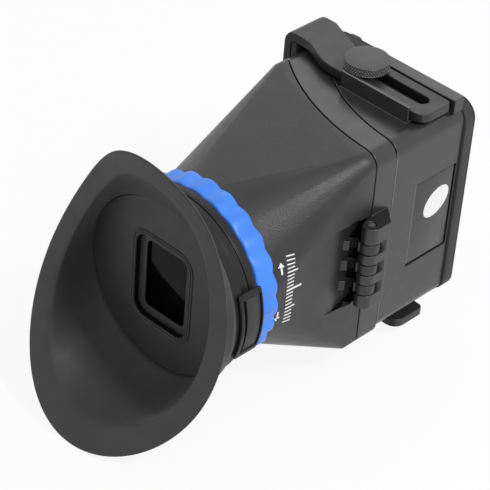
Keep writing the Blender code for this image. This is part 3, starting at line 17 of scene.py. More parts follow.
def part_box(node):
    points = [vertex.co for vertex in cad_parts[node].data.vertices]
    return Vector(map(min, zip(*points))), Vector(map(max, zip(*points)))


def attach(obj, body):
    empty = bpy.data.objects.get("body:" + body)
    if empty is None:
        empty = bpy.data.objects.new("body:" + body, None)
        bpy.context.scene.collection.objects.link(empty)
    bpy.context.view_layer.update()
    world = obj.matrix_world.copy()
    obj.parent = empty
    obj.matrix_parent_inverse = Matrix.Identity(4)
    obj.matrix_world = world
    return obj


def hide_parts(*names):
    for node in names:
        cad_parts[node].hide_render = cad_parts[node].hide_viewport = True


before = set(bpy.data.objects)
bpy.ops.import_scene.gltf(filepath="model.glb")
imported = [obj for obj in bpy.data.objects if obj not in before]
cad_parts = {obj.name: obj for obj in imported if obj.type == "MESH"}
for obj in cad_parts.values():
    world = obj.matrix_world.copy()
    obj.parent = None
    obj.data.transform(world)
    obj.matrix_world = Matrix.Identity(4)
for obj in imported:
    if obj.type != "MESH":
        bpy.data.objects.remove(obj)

bl_info = {
    "name": "LCD viewfinder loupe",
    "version": (1, 0, 0),
    "blender": (4, 5, 0),
    "location": "View3D > Sidebar > Loupe",
    "description": "Dresses the loupe's packed parts and sets up its studio",
    "category": "Object",
}

MM = 0.001
GASKET_LOW, GASKET_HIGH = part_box("rear_gasket")
ORIGIN = Vector(((GASKET_LOW.x + GASKET_HIGH.x) / 2, GASKET_HIGH.y,
                 (GASKET_LOW.z + GASKET_HIGH.z) / 2))
TO_FRAME = Matrix.Translation(ORIGIN) @ Matrix.Scale(MM, 4)
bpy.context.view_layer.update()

# Lengths from here to the settings are in millimetres on the drawing

# Shells: the room inside them, whose inward faces take painted shade, the hinge's part of it, kept out of
# that shade, what is drawn or worn, and the dark shield of painted shade past the hinge
INSIDE_X = 31.5
INSIDE_Z = 39.0
HINGE_ROOM_X = 27.0
HINGE_ROOM_Z = 21.0
COVER_MIDDLE_Y = -16.9
COVER_ROUND = 0.12
SHADE_SHIELD_CORNERS = ((23.5, -49.35, -18.0), (30.1, -48.4, 16.2))
LINER_CORNERS = ((-35.1, -20.6, -41.5), (-32.5, -5.4, 40.4))

# Hinge: the notch in each tongue, which takes painted shade, and the scoop that they turn in
HINGE_X = 35.4
HINGE_Y = -53.3
HINGE_LOW_Z = -18.5
HINGE_HIGH_Z = 16.5
TONGUE_ANGLE = math.radians(222.0)
TONGUE_LUMP_R = 6.7
NOTCH_FLOOR_R = 3.9
NOTCH_CORNERS = ((3.95, -0.4, HINGE_LOW_Z), (TONGUE_LUMP_R, 3.0, HINGE_HIGH_Z))
SCOOP_Y = -65.23
SCOOP_RUN = 3.5
SCOOP_LEAN_SHARE = -0.0768
SCOOP_ROUND = 2.5
RIM_EDGE_GAP = 0.3
RIM_EDGE_X = 28.0
RIM_EDGE_LENGTH = 5.0

# Screen band: Y and inset of its section, from the front edge round to the inside
BAND_HALF_W = 33.15
BAND_HALF_H = 40.0
BAND_CORNER = 7.0
BAND_EASE = 3.0
BAND_PROFILE = ((-5.1, 0.45), (-5.0, 0.15), (-4.7, 0.0), (-1.1, 0.0), (-0.95, 0.25), (-0.8, 0.25),
                (-0.65, 0.0), (-0.35, 0.02), (-0.1, 0.2), (0.0, 0.5), (0.0, 4.3), (-0.2, 4.6),
                (-1.5, 4.7), (-1.6, 4.9), (-1.6, 6.0), (-1.8, 6.2), (-4.9, 6.2), (-5.1, 6.0))

# Eyecup: its rim's curve, the bowl as shares of the way out and forward, the neck and the seat
CUP_TURN = math.radians(9.0)
CUP_WALL = 2.0
CUP_LIP_T = 0.8
CUP_NECK_R = 31.0
CUP_OUTER_R = 33.4
CUP_NECK_Y = -110.3
CUP_SEAT_Y = -113.4
CUP_SEAT_R = 32.8
CUP_BOWL_Y = -116.2
RIM_SHIFT = 3.1
RIM_HALF_LENGTH = 54.3
RIM_HALF_WIDTH = 44.25
RIM_Y = -129.25
RIM_TILT = 11.4
RIM_BOW = -9.5
RIM_SIDE_BOW = 2.8
RIM_SPAN = 50.0
RIM_POINT_SHARE = 0.353
RIM_POINT_POWER = 1.6
RIM_BLUNT_SHARE = 0.334
RIM_BLUNT_POWER = 6.4
LIP_W = 8.6
LIP_PASSES = 5
LIP_INSETS = (0.0, 0.6, 1.2, 1.9, 2.7, 3.8, 5.2, 6.4, 7.4)
LIP_EDGE_LIFT = 0.02
LIP_TIP_SHARE = 0.7
BOWL_SHARES = ((0.18, 0.10), (0.44, 0.30), (0.74, 0.62))
BOWL_OUT_SHARES = tuple(step / 14 for step in range(1, 13)) + (0.895, 0.930, 0.960, 0.982)
BOWL_STEPS = len(BOWL_OUT_SHARES) + 1
RIB_COLUMNS = 3
NECK_LEVELS = ((CUP_SEAT_Y - 0.9, 0.0), (CUP_SEAT_Y - 0.6, 0.0), (CUP_SEAT_Y - 0.3, 1.0),
               (CUP_NECK_Y - 0.5, 1.0), (CUP_NECK_Y - 0.2, 0.0))
SEAT_PROFILE = ((CUP_OUTER_R - 0.25, CUP_NECK_Y), (CUP_NECK_R + 0.1, CUP_NECK_Y),
                (CUP_NECK_R, CUP_NECK_Y - 0.1), (CUP_NECK_R, CUP_SEAT_Y),
                (CUP_SEAT_R, CUP_SEAT_Y))

# Focus ring: Y, crest radius and valley radius where the grip falls to the front, and the bore
RING_REAR_Y = -94.3
RING_FRONT_Y = -102.1
RING_VALLEY_R = 32.0
RING_CREST_R = 33.2
RING_BORE_R = 28.3
RING_RELIEF_R = 31.0
RING_RIM = 0.6
RING_POWER = 0.6
RING_COLUMNS = 12
RING_FALL = ((RING_REAR_Y - 2.6, RING_CREST_R - 0.05, RING_VALLEY_R),
             (RING_REAR_Y - 4.6, RING_CREST_R - 0.30, RING_VALLEY_R),
             (RING_FRONT_Y + 1.4, RING_VALLEY_R + 0.70, RING_VALLEY_R - 0.05),
             (RING_FRONT_Y + 0.6, RING_VALLEY_R + 0.50, RING_VALLEY_R - 0.10),
             (RING_FRONT_Y + 0.2, RING_VALLEY_R + 0.30, RING_VALLEY_R - 0.25),
             (RING_FRONT_Y, RING_VALLEY_R, RING_VALLEY_R - 0.5))
RING_BORE = ((RING_BORE_R, RING_FRONT_Y), (RING_BORE_R, RING_FRONT_Y + RING_RIM),
             (RING_RELIEF_R, RING_FRONT_Y + RING_RIM), (RING_RELIEF_R, RING_REAR_Y - RING_RIM),
             (RING_BORE_R, RING_REAR_Y - RING_RIM), (RING_BORE_R, RING_REAR_Y))

# Eyepiece collar as radius and Y, and the clips on it
COLLAR_R = 32.2
COLLAR_BORE_R = 30.6
COLLAR_REAR_Y = -102.8
COLLAR_FRONT_Y = -110.0
COLLAR_WEB_BORE_R = 26.2
COLLAR_WEB_Y = COLLAR_FRONT_Y + 1.7
COLLAR_ROUND = 0.12
GROOVE_R = COLLAR_R - 0.5
GROOVE_REAR_Y = -105.9
GROOVE_FRONT_Y = -106.5
COLLAR_PROFILE = ((COLLAR_R, COLLAR_REAR_Y), (COLLAR_R, GROOVE_REAR_Y), (GROOVE_R, GROOVE_REAR_Y),
                  (GROOVE_R, GROOVE_FRONT_Y), (COLLAR_R, GROOVE_FRONT_Y), (COLLAR_R, COLLAR_FRONT_Y),
                  (COLLAR_WEB_BORE_R, COLLAR_FRONT_Y), (COLLAR_WEB_BORE_R, COLLAR_WEB_Y),
                  (COLLAR_BORE_R, COLLAR_WEB_Y), (COLLAR_BORE_R, COLLAR_REAR_Y))
CLIP_INNER_R = 33.6
CLIP_OUTER_R = 34.6
CLIP_FRONT_Y = -113.0
CLIP_ARC = math.radians(22.0)
CLIP_BAR = 2.3
CLIP_REAR_BAR = 0.7
CLIP_CORNER = 0.9
CLIP_INNER_CORNER = 0.5
CLIP_ROUND = 0.25
PAD_R = 34.1
PAD_GAP = 0.35
PAD_SINK = 0.05
PAD_REAR_Y = COLLAR_REAR_Y - 1.0
PAD_FRONT_Y = COLLAR_FRONT_Y + 0.15
PAD_ROUND = 0.2

# Window: its walls, and how far out and how high the double line round it stands
FACE_Y = -115.6
WINDOW_W = 24.5
WINDOW_H = 33.0
WINDOW_CORNER = 5.0
WINDOW_WALL_X = 12.6
WINDOW_WALL_Z = 16.9
WINDOW_ROUND = 0.15
LINE_PROFILE = ((1.9, -0.06), (1.9, 0.25), (1.75, 0.36), (1.45, 0.36), (1.25, 0.22), (1.2, 0.04),
                (0.85, 0.04), (0.8, 0.22), (0.65, 0.32), (0.35, 0.32), (0.2, 0.22), (0.18, -0.06))

# Knurled screws
KNOB_R = 8.1
KNOB_T = 3.2
KNOB_SHANK_R = 2.0
KNOB_SHANK_END = 34.5
KNOB_FACES = {"top": 48.3, "bottom": 50.5}
KNOB_X = -2.3
SLOT_Y = -18.3
CAMERA_KNOB_R = 8.95
CAMERA_KNOB_T = 5.0
CAMERA_SHANK_R = 3.15
CAMERA_SLOT_Y = 9.0
KNURL_COLUMNS = 96
KNURL_DEPTH = 0.4
KNURL_MARGIN = 0.3
KNURL_W = 0.9

# Printed scale and sticker; a tick is its rear Y and breadth, an arrow its Y and its ends' Z
SCALE_Z = 1.6
SCALE_FRONT_Y = -87.6
SHORT_TICK = (-84.6, 1.0)
LONG_TICKS = {0: (-81.0, 1.6), 5: (-83.3, 1.15)}
ARROWS = ((-89.8, 9.1, 13.3), (-90.4, -6.0, -10.2))
ARROW_HEAD_LENGTH = 1.7
ARROW_HEAD_HALF_W = 1.15
ARROW_SHAFT_HALF_W = 0.33
ARROW_LAP = 0.2
PRINT_LIFT = 0.06
ARROW_LIFT = 0.08
STICKER_T = 0.09
STICKER_ROUND = 0.03
STICKER_PLACE = (32.23, -15.1, 5.6)

# Camera as in the photograph: its place and the directions of its right, top and back
CAMERA_PLACE = (418.96, -549.48, 463.02)
CAMERA_AXES = ((0.71370905, 0.69722427, 0.06706496), (-0.45368276, 0.3872038, 0.80264884),
               (0.53365845, -0.60328396, 0.59266949))
SENSOR_W = 36.0

# Studio, in metres: the floor's size and gap, and each lamp's place, size and power setting
FLOOR_HALF = 6.0
FLOOR_GAP = 0.0004
FLOOR_GLOW_SHARE = 0.90
LAMP_TARGET = (0.0, -0.06, 0.0)
LAMPS = {
    "key_lamp": ((-0.45, 0.60, 0.62), 0.45, "key_power"),
    "streak_lamp": ((0.66, 0.0, 0.74), 0.11, "streak_power"),
}

# Merging and rounding of the CAD nodes' meshes
FLAT_ANGLE = math.radians(1.5)
WELD = 0.000002
FAR = 1000.0


def place(x, y, z):
    """A point of the drawing in the shared frame, in metres."""
    return ORIGIN + Vector((x, y, z)) * MM


def point_of(vert):
    """Where a vertex in metres lies on the drawing."""
    return (vert.co - ORIGIN) / MM


def middle_of(face):
    """Where the middle of a face in metres lies on the drawing."""
    return (face.calc_center_median() - ORIGIN) / MM


def around(angle, radius, y):
    """A point on a circle about the optical axis, turning from +Z to +X."""
    return (radius * math.sin(angle), y, radius * math.cos(angle))


def within(low, high):
    """A test for points between two corners of the drawing."""
    return lambda point: all(a < value < b for a, value, b in zip(low, point, high))


# Edges that are drawn closer, or worn and lit with a painted highlight, as tests for their points
SCOOP_EDGE = within((31.4, SCOOP_Y - 0.1, -19.0), (FAR, SCOOP_Y + 0.1, 19.0))
HOUSING_SEAM = within((31.8, -50.4, -36.0), (FAR, -49.4, 36.0))
MIDDLE_REAR_EDGE = within((32.0, -41.0, -37.0), (32.5, -39.0, 37.0))
MIDDLE_FRONT_EDGE = within((32.0, -49.6, -37.0), (32.5, -49.2, 37.0))
BOX_SEAM = within((31.9, -FAR, -FAR), (FAR, -39.0, FAR))
RAIL_TOP = within((-FAR, -FAR, 45.6), (FAR, -26.0, FAR))
COVER_FRONT = within((32.0, -FAR, -FAR), (FAR, -27.2, FAR))
COVER_MOVES = (
    (within((-FAR, -FAR, -FAR), (FAR, COVER_MIDDLE_Y, FAR)), (0.0, -0.34, 0.0)),
    (within((-FAR, -FAR, 0.0), (FAR, FAR, FAR)), (0.0, 0.0, 0.34)),
    (within((-FAR, -FAR, -FAR), (FAR, FAR, 0.0)), (0.0, 0.0, 0.6)),
    (within((-FAR, COVER_MIDDLE_Y, -FAR), (FAR, FAR, FAR)), (0.0, -0.8, 0.0)),
)


# Sizes and colours that a user would change


class LoupeRubberSettings(PropertyGroup):
    """Sizes and colour of the soft pieces."""

    color: FloatVectorProperty(name="Rubber colour", description="Colour of the eyecup and the screen band",
                               subtype="COLOR", size=3, min=0.0, max=1.0, default=(0.026, 0.026, 0.027))
    lip_round: FloatProperty(name="Lip edge", description="Round at the edge of the eyecup's lip",
                             default=0.0004, min=0.0, unit="LENGTH")
    ribs: IntProperty(name="Neck ribs", description="Ribs round the eyecup's neck", default=110, min=12)
    rib_depth: FloatProperty(name="Rib depth", description="Depth between the neck's ribs",
                             default=0.0003, min=0.0, unit="LENGTH")


class LoupePlasticSettings(PropertyGroup):
    """Colour, grain and edges of the moulded pieces."""

    color: FloatVectorProperty(name="Plastic colour", description="Colour of the moulded shells",
                               subtype="COLOR", size=3, min=0.0, max=1.0, default=(0.021, 0.021, 0.022))
    roughness: FloatProperty(name="Roughness", description="How matt the shells are",
                             default=0.42, min=0.0, max=1.0, subtype="FACTOR")
    edge: FloatProperty(name="Edge round", description="Round on the shells' outer edges",
                        default=0.00028, min=0.0, unit="LENGTH")


class LoupeRingSettings(PropertyGroup):
    """Shape and colour of the focus ring."""

    color: FloatVectorProperty(name="Ring colour", description="Colour of the focus ring",
                               subtype="COLOR", size=3, min=0.0, max=1.0, default=(0.048, 0.240, 0.880))
    scallops: IntProperty(name="Scallops", description="Crests round the focus ring", default=24, min=6)
    edge: FloatProperty(name="Ring edge", description="Round on the focus ring's rear edge",
                        default=0.0006, min=0.0, unit="LENGTH")


class LoupeMarkSettings(PropertyGroup):
    """Printed marks and the blank sticker."""

    color: FloatVectorProperty(name="Print colour", description="Colour of the printed marks",
                               subtype="COLOR", size=3, min=0.0, max=1.0, default=(0.88, 0.88, 0.88))
    ticks: IntProperty(name="Ticks", description="Printed ticks on each side of the middle one",
                       default=9, min=1)
    pitch: FloatProperty(name="Tick pitch", description="Distance between two printed ticks",
                         default=0.00148, min=0.0, unit="LENGTH")
    tick_width: FloatProperty(name="Tick width", description="Width of one printed tick",
                              default=0.00046, min=0.0, unit="LENGTH")
    sticker_length: FloatProperty(name="Sticker length", description="Long way across the blank sticker",
                                  default=0.0137, min=0.0, unit="LENGTH")
    sticker_width: FloatProperty(name="Sticker width", description="Short way across the blank sticker",
                                 default=0.0101, min=0.0, unit="LENGTH")
    sticker_tilt: FloatProperty(name="Sticker tilt", description="Turn of the sticker's long way",
                                default=math.radians(34.0), subtype="ANGLE")


class LoupeStageSettings(PropertyGroup):
    """Floor, lamps and camera."""

    floor_color: FloatVectorProperty(name="Floor colour", description="Colour of the studio floor",
                                     subtype="COLOR", size=3, min=0.0, max=1.0, default=(0.90, 0.90, 0.90))
    key_power: FloatProperty(name="Key lamp", description="Power of the large lamp above the left rear",
                             default=0.5, min=0.0, unit="POWER")
    streak_power: FloatProperty(name="Streak lamp", description="Power of the small lamp on the right",
                                default=4.6, min=0.0, unit="POWER")
    world_level: FloatProperty(name="Room light", description="Level of the even light all round",
                               default=0.62, min=0.0)
    lens: FloatProperty(name="Focal length", description="Focal length of the camera in millimetres",
                        default=170.155, min=1.0)


# Materials; patterns count per metre and bumps are in metres


def added(nodes, kind, values):
    """A new shader node with some of its inputs set."""
    node = nodes.new(kind)
    for key, value in values.items():
        node.inputs[key].default_value = value
    return node


def noise(nodes, links, scale, detail, roughness=0.5, stretch=(1.0, 1.0, 1.0)):
    """A noise pattern on the piece's own coordinates."""
    where = nodes.new("ShaderNodeTexCoord")
    mapping = added(nodes, "ShaderNodeMapping", {"Scale": stretch})
    pattern = added(nodes, "ShaderNodeTexNoise", {"Scale": scale, "Detail": detail, "Roughness": roughness})
    links.new(where.outputs["Object"], mapping.inputs["Vector"])
    links.new(mapping.outputs["Vector"], pattern.inputs["Vector"])
    return pattern.outputs["Fac"]


def varied(name, color, spread, limits, bump, patterns, inputs):
    """A material whose colour, roughness and normal follow a pattern each.

    limits are the roughness's, and bump is a strength and a depth, or None for a smooth surface.
    """
    made = bpy.data.materials.new(name)
    made.use_nodes = True
    nodes, links = made.node_tree.nodes, made.node_tree.links
    shader = nodes["Principled BSDF"]
    tint, wear, relief = patterns
    ramp = nodes.new("ShaderNodeValToRGB")
    for step, position, share in zip(ramp.color_ramp.elements, (0.35, 0.65), (1 - spread, 1 + spread)):
        step.position = position
        step.color = [min(1.0, value * share) for value in color[:3]] + [1.0]
    links.new(noise(nodes, links, *tint), ramp.inputs["Fac"])
    links.new(ramp.outputs["Color"], shader.inputs["Base Color"])
    level = added(nodes, "ShaderNodeMapRange", {"From Min": 0.3, "From Max": 0.7,
                                                "To Min": limits[0], "To Max": limits[1]})
    links.new(noise(nodes, links, *wear), level.inputs["Value"])
    links.new(level.outputs["Result"], shader.inputs["Roughness"])
    if bump:
        tilt = added(nodes, "ShaderNodeBump", {"Strength": bump[0], "Distance": bump[1]})
        links.new(noise(nodes, links, *relief), tilt.inputs["Height"])
        links.new(tilt.outputs["Normal"], shader.inputs["Normal"])
    for key, value in inputs.items():
        shader.inputs[key].default_value = value
    return made


def moulded(name, color, roughness, grain, depth=0.00004, spread=0.12, sheen=0.0, shine=0.5):
    """Moulded plastic or rubber: spark-eroded grain, faint clouding and handled patches."""
    return varied(name, color, spread, (roughness - 0.05, roughness + 0.05), (0.6, depth),
                  ((70.0, 3.0), (160.0, 4.0, 0.6), (grain, 3.0, 0.6)),
                  {"Specular IOR Level": shine, "Sheen Weight": sheen, "Sheen Roughness": 0.5})


def metal(name, color, roughness, stretch):
    """Turned or plated metal with fine tool lines."""
    return varied(name, color, 0.10, (roughness - 0.06, roughness + 0.08), (0.25, 0.00002),
                  ((1800.0, 4.0, 0.6, stretch),) * 3, {"Metallic": 1.0})


def glass(name, color, ior):
    """Clear coated glass with the faintest haze; the coating dims what it mirrors."""
    return varied(name, color, 0.02, (0.004, 0.010), None, ((220.0, 3.0),) * 3,
                  {"Transmission Weight": 1.0, "IOR": ior, "Specular Tint": (0.12, 0.12, 0.12, 1.0)})


def printed(name, color, roughness):
    """Pad-printed ink or sticker paper with slightly uneven cover."""
    return varied(name, color, 0.05, (roughness - 0.05, roughness + 0.08), (0.3, 0.00001),
                  ((1500.0, 3.0),) * 3, {})


def toned(color, share):
    """A colour made lighter or darker."""
    return [value * share for value in color]


def finish_table():
    """What makes each finish, and the values that it takes."""
    scene = bpy.context.scene
    shell = scene.loupe_plastic.color
    matt = scene.loupe_plastic.roughness
    soft = scene.loupe_rubber.color
    return {
        "grained plastic": (moulded, shell, matt - 0.04, 2200.0, 0.00018),
        "case plastic": (moulded, shell, matt - 0.12, 3000.0, 0.00002, 0.12, 0.0, 0.62),
        # Edge rounds far lighter than the shell: partly wear, partly a painted highlight along the edges
        "worn edge": (moulded, toned(shell, 8.0), 0.38, 3000.0, 0.00002),
        "bracket plastic": (moulded, shell, matt, 2200.0),
        "liner felt": (moulded, toned(shell, 0.8), 0.85, 1600.0, 0.0002, 0.3, 0.2),
        # Darker, duller shell plastic: painted shade, on faces turned from the light and on parts that lie
        # in shade
        "trim plastic": (moulded, toned(shell, 0.6), 0.45, 3000.0, 0.00002, 0.12, 0.0, 0.25),
        # Much darker shell plastic: painted shade, for inward faces, hollows and faces that look down
        "deep plastic": (moulded, toned(shell, 0.2), 0.60, 3000.0, 0.00003, 0.12, 0.0, 0.1),
        # Half as dark shell plastic: painted shade, for the shield past the hinge
        "inner plastic": (moulded, toned(shell, 0.5), 0.70, 3000.0, 0.00003, 0.12, 0.0, 0.2),
        "face plastic": (moulded, toned(soft, 0.8), 0.52, 3400.0, 0.00002),
        "eyecup rubber": (moulded, toned(soft, 1.2), 0.58, 2400.0, 0.00003, 0.10, 0.12, 0.36),
        "band rubber": (moulded, toned(soft, 0.8), 0.75, 1300.0, 0.00014, 0.2, 0.2),
        "ring plastic": (moulded, scene.loupe_ring.color, 0.40, 1800.0, 0.00002, 0.06),
        "knob metal": (moulded, (0.034, 0.034, 0.035), 0.36, 3600.0, 0.00002, 0.08),
        "knurl metal": (moulded, (0.060, 0.060, 0.062), 0.30, 3600.0, 0.00001, 0.15, 0.0, 1.0),
        "steel": (metal, (0.58, 0.58, 0.60), 0.30, (1.0, 1.0, 0.15)),
        "plating": (metal, (0.62, 0.62, 0.64), 0.20, (1.0, 1.0, 1.0)),
        "brass": (metal, (0.72, 0.52, 0.24), 0.32, (1.0, 1.0, 0.15)),
        "lens glass": (glass, (0.96, 0.98, 0.99), 1.50),
        # A dark tint: painted shade for the dark inside behind the window
        "window glass": (glass, (0.08, 0.08, 0.085), 1.20),
        "print": (printed, scene.loupe_marks.color, 0.55),
        "sticker": (printed, (0.84, 0.84, 0.84), 0.45),
    }


FINISHES = {}


def finish(kind):
    """The shared finish of that kind, made the first time it is asked for."""
    if kind not in FINISHES:
        maker, *looks = finish_table()[kind]
        FINISHES[kind] = maker(kind, *looks)
    return FINISHES[kind]


# Shapes


def outline(half_a, half_b, radius, corner_steps, side_steps=1):
    """A rectangle with round corners as points, with the sides cut into steps."""
    quarter = math.pi / 2
    corners = []
    for index, (sa, sb) in enumerate(((1, 1), (-1, 1), (-1, -1), (1, -1))):
        middle = (sa * (half_a - radius), sb * (half_b - radius))
        corner = []
        for step in range(corner_steps + 1):
            angle = (index + step / corner_steps) * quarter
            corner.append((middle[0] + radius * math.cos(angle), middle[1] + radius * math.sin(angle)))
        corners.append(corner)
    points = []
    for corner, after in zip(corners, corners[1:] + corners[:1]):
        points += corner
        start, end = corner[-1], after[0]
        for step in range(1, side_steps):
            share = step / side_steps
            points.append((start[0] + (end[0] - start[0]) * share, start[1] + (end[1] - start[1]) * share))
    return points


def drawn_skin(rings, closed=True):
    """A skin drawn from a first ring on through the others, by extruding its edges.

    closed joins the last ring to the first; otherwise both ends are capped.
    """
    bm = bmesh.new()
    row = [bm.verts.new(point) for point in rings[0]]
    edges = [bm.edges.new(pair) for pair in zip(row, row[1:] + row[:1])]
    first = edges
    for ring in rings[1:]:
        drawn = bmesh.ops.extrude_edge_only(bm, edges=edges)["geom"]
        fresh = {item for item in drawn if isinstance(item, bmesh.types.BMVert)}
        after = []
        for vert, point in zip(row, ring):
            moved = next(edge.other_vert(vert) for edge in vert.link_edges
                         if edge.other_vert(vert) in fresh)
            moved.co = point
            after.append(moved)
        row = after
        edges = [item for item in drawn if isinstance(item, bmesh.types.BMEdge)
                 and item.verts[0] in fresh and item.verts[1] in fresh]
    if closed:
        bmesh.ops.bridge_loops(bm, edges=first + edges)
    else:
        bmesh.ops.contextual_create(bm, geom=first)
        bmesh.ops.contextual_create(bm, geom=edges)
    bmesh.ops.recalc_face_normals(bm, faces=bm.faces)
    return bm


def spun(profile, steps=128):
    """A closed profile of radius and Y spun about the optical axis."""
    bm = bmesh.new()
    verts = [bm.verts.new((radius, y, 0.0)) for radius, y in profile]
    for pair in zip(verts, verts[1:] + verts[:1]):
        bm.edges.new(pair)
    bmesh.ops.spin(bm, geom=bm.verts[:] + bm.edges[:], cent=(0.0, 0.0, 0.0), axis=(0.0, 1.0, 0.0),
                   angle=2 * math.pi, steps=steps, use_merge=True, use_normal_flip=False,
                   use_duplicate=False)
    bmesh.ops.remove_doubles(bm, verts=bm.verts, dist=0.0001)
    bmesh.ops.recalc_face_normals(bm, faces=bm.faces)
    return bm


def block(low, high):
    """A plain block between two corners of the drawing."""
    bm = bmesh.new()
    bmesh.ops.create_cube(bm, size=1.0)
    bmesh.ops.scale(bm, vec=[b - a for a, b in zip(low, high)], verts=bm.verts)
    bmesh.ops.translate(bm, vec=[(a + b) / 2 for a, b in zip(low, high)], verts=bm.verts)
    return bm


def turned(bm, angle, axis):
    """Turn a shape about one of the drawing's axes, and return it."""
    bmesh.ops.rotate(bm, cent=(0.0, 0.0, 0.0), matrix=Matrix.Rotation(angle, 3, axis), verts=bm.verts)
    return bm


def round_edges(bm, width, segments=2, angle=35.0, keep=None, clamp=True):
    """Round the sharp edges of a shape; keep picks which of them. Returns the rounds' faces."""
    sharp = []
    for edge in bm.edges:
        if len(edge.link_faces) == 2 and edge.calc_face_angle(0.0) > math.radians(angle):
            if keep is None or keep(edge):
                sharp.append(edge)
    return bmesh.ops.bevel(bm, geom=sharp, offset=width, offset_type="OFFSET", segments=segments,
                           profile=0.5, affect="EDGES", clamp_overlap=clamp, material=-1,
                           loop_slide=True)["faces"]


def mesh_of(bm, name):
    """Mesh data of a shape, which is used up."""
    data = bpy.data.meshes.new(name)
    bm.to_mesh(data)
    bm.free()
    return data


def linked(name, data):
    """A new object in the scene."""
    item = bpy.data.objects.new(name, data)
    bpy.context.scene.collection.objects.link(item)
    return item


def put(bm, name, body, slot, kinds, extra=False, angle=35.0, metres=False):
    """Turn a finished shape into a piece that rides on a body, in the place of a CAD node.

    It replaces that node unless it is an extra piece; metres says that its points are in the frame.
    """
    if not metres:
        bmesh.ops.transform(bm, matrix=TO_FRAME, verts=bm.verts)
    data = mesh_of(bm, name)
    data.shade_smooth()
    data.set_sharp_from_angle(angle=math.radians(angle))
    for kind in (kinds,) if isinstance(kinds, str) else kinds:
        data.materials.append(finish(kind))
    piece = linked(name, data)
    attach(piece, body)
    replaced = () if extra else (slot,)
    if replaced:
        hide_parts(*replaced)
    return piece


def put_shell(bm, name, body, slot, kinds):
    """Put a rounded CAD copy; its wide faces are shaded flat and the small rounds carry the turn."""
    piece = put(bm, name, body, slot, kinds, metres=True)
    step = piece.modifiers.new("weighted normals", "WEIGHTED_NORMAL")
    step.keep_sharp = True
    step.weight = 60


def merge_flat(bm):
    """Merge the triangles of each flat face."""
    bmesh.ops.dissolve_limit(bm, angle_limit=FLAT_ANGLE, use_dissolve_boundaries=False,
                             verts=bm.verts, edges=bm.edges)


def merged_copy(node):
    """A copy of a CAD node's mesh with its loose triangles merged into whole faces, in metres."""
    bm = bmesh.new()
    bm.from_mesh(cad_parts[node].data)
    bmesh.ops.remove_doubles(bm, verts=bm.verts, dist=WELD)
    merge_flat(bm)
    return bm


def carved(bm, cutter):
    """Take one shape in metres away from another with a boolean, and return the rest."""
    objects = [linked("carving", mesh_of(shape, "carving")) for shape in (bm, cutter)]
    step = objects[0].modifiers.new("carve", "BOOLEAN")
    step.operation = "DIFFERENCE"
    step.solver = "EXACT"
    step.object = objects[1]
    bpy.context.view_layer.update()
    rest = bmesh.new()
    rest.from_object(objects[0], bpy.context.evaluated_depsgraph_get())
    for item in objects:
        data = item.data
        bpy.data.objects.remove(item)
        bpy.data.meshes.remove(data)
    merge_flat(rest)
    return rest


def draw_edge(bm, chosen, shift):
    """Draw the chosen points of a shell closer to its neighbour."""
    verts = [vert for vert in bm.verts if chosen(point_of(vert))]
    bmesh.ops.translate(bm, vec=Vector(shift) * MM, verts=verts)


def paint(faces, index, chosen):
    """Give the faces that are chosen by their middle another of the piece's finishes."""
    for face in faces:
        if face.is_valid and chosen(middle_of(face)):
            face.material_index = index


def paint_shade_inside(bm, index):
    """Give the faces that look at the optical axis a darker finish of painted shade, apart from the hinge's
    room.
    """
    for face in bm.faces:
        middle = middle_of(face)
        reach = math.hypot(middle.x, middle.z)
        inwards = face.normal.x * middle.x + face.normal.z * middle.z < -0.3 * reach
        at_hinge = middle.x > HINGE_ROOM_X and abs(middle.z) < HINGE_ROOM_Z
        if inwards and not at_hinge and abs(middle.x) < INSIDE_X and abs(middle.z) < INSIDE_Z:
            face.material_index = index


# Moulded shells


def tongue_notch():
    """The hollow between the hinge barrel and the raised ends of the housing's tongues, in metres."""
    bm = block(*NOTCH_CORNERS)
    turn = Matrix.Rotation(TONGUE_ANGLE, 4, "Z")
    bmesh.ops.transform(bm, matrix=Matrix.Translation((HINGE_X, HINGE_Y, 0.0)) @ turn, verts=bm.verts)
    bmesh.ops.transform(bm, matrix=TO_FRAME, verts=bm.verts)
    return bm


def in_notch(point):
    """Whether a point lies between the hinge barrel and the reach of the tongues' ends."""
    reach = math.hypot(point.x - HINGE_X, point.y - HINGE_Y)
    return NOTCH_FLOOR_R < reach < TONGUE_LUMP_R and HINGE_LOW_Z < point.z < HINGE_HIGH_Z


def scoop_rim(edge):
    """Whether an edge is the long front edge of the scoop that the hinge lies in."""
    first, last = (point_of(vert) for vert in edge.verts)
    rim_y = SCOOP_Y - SCOOP_RUN
    on_rim = max(abs(first.y - rim_y), abs(last.y - rim_y)) < RIM_EDGE_GAP
    return on_rim and min(first.x, last.x) > RIM_EDGE_X and abs(first.z - last.z) > RIM_EDGE_LENGTH


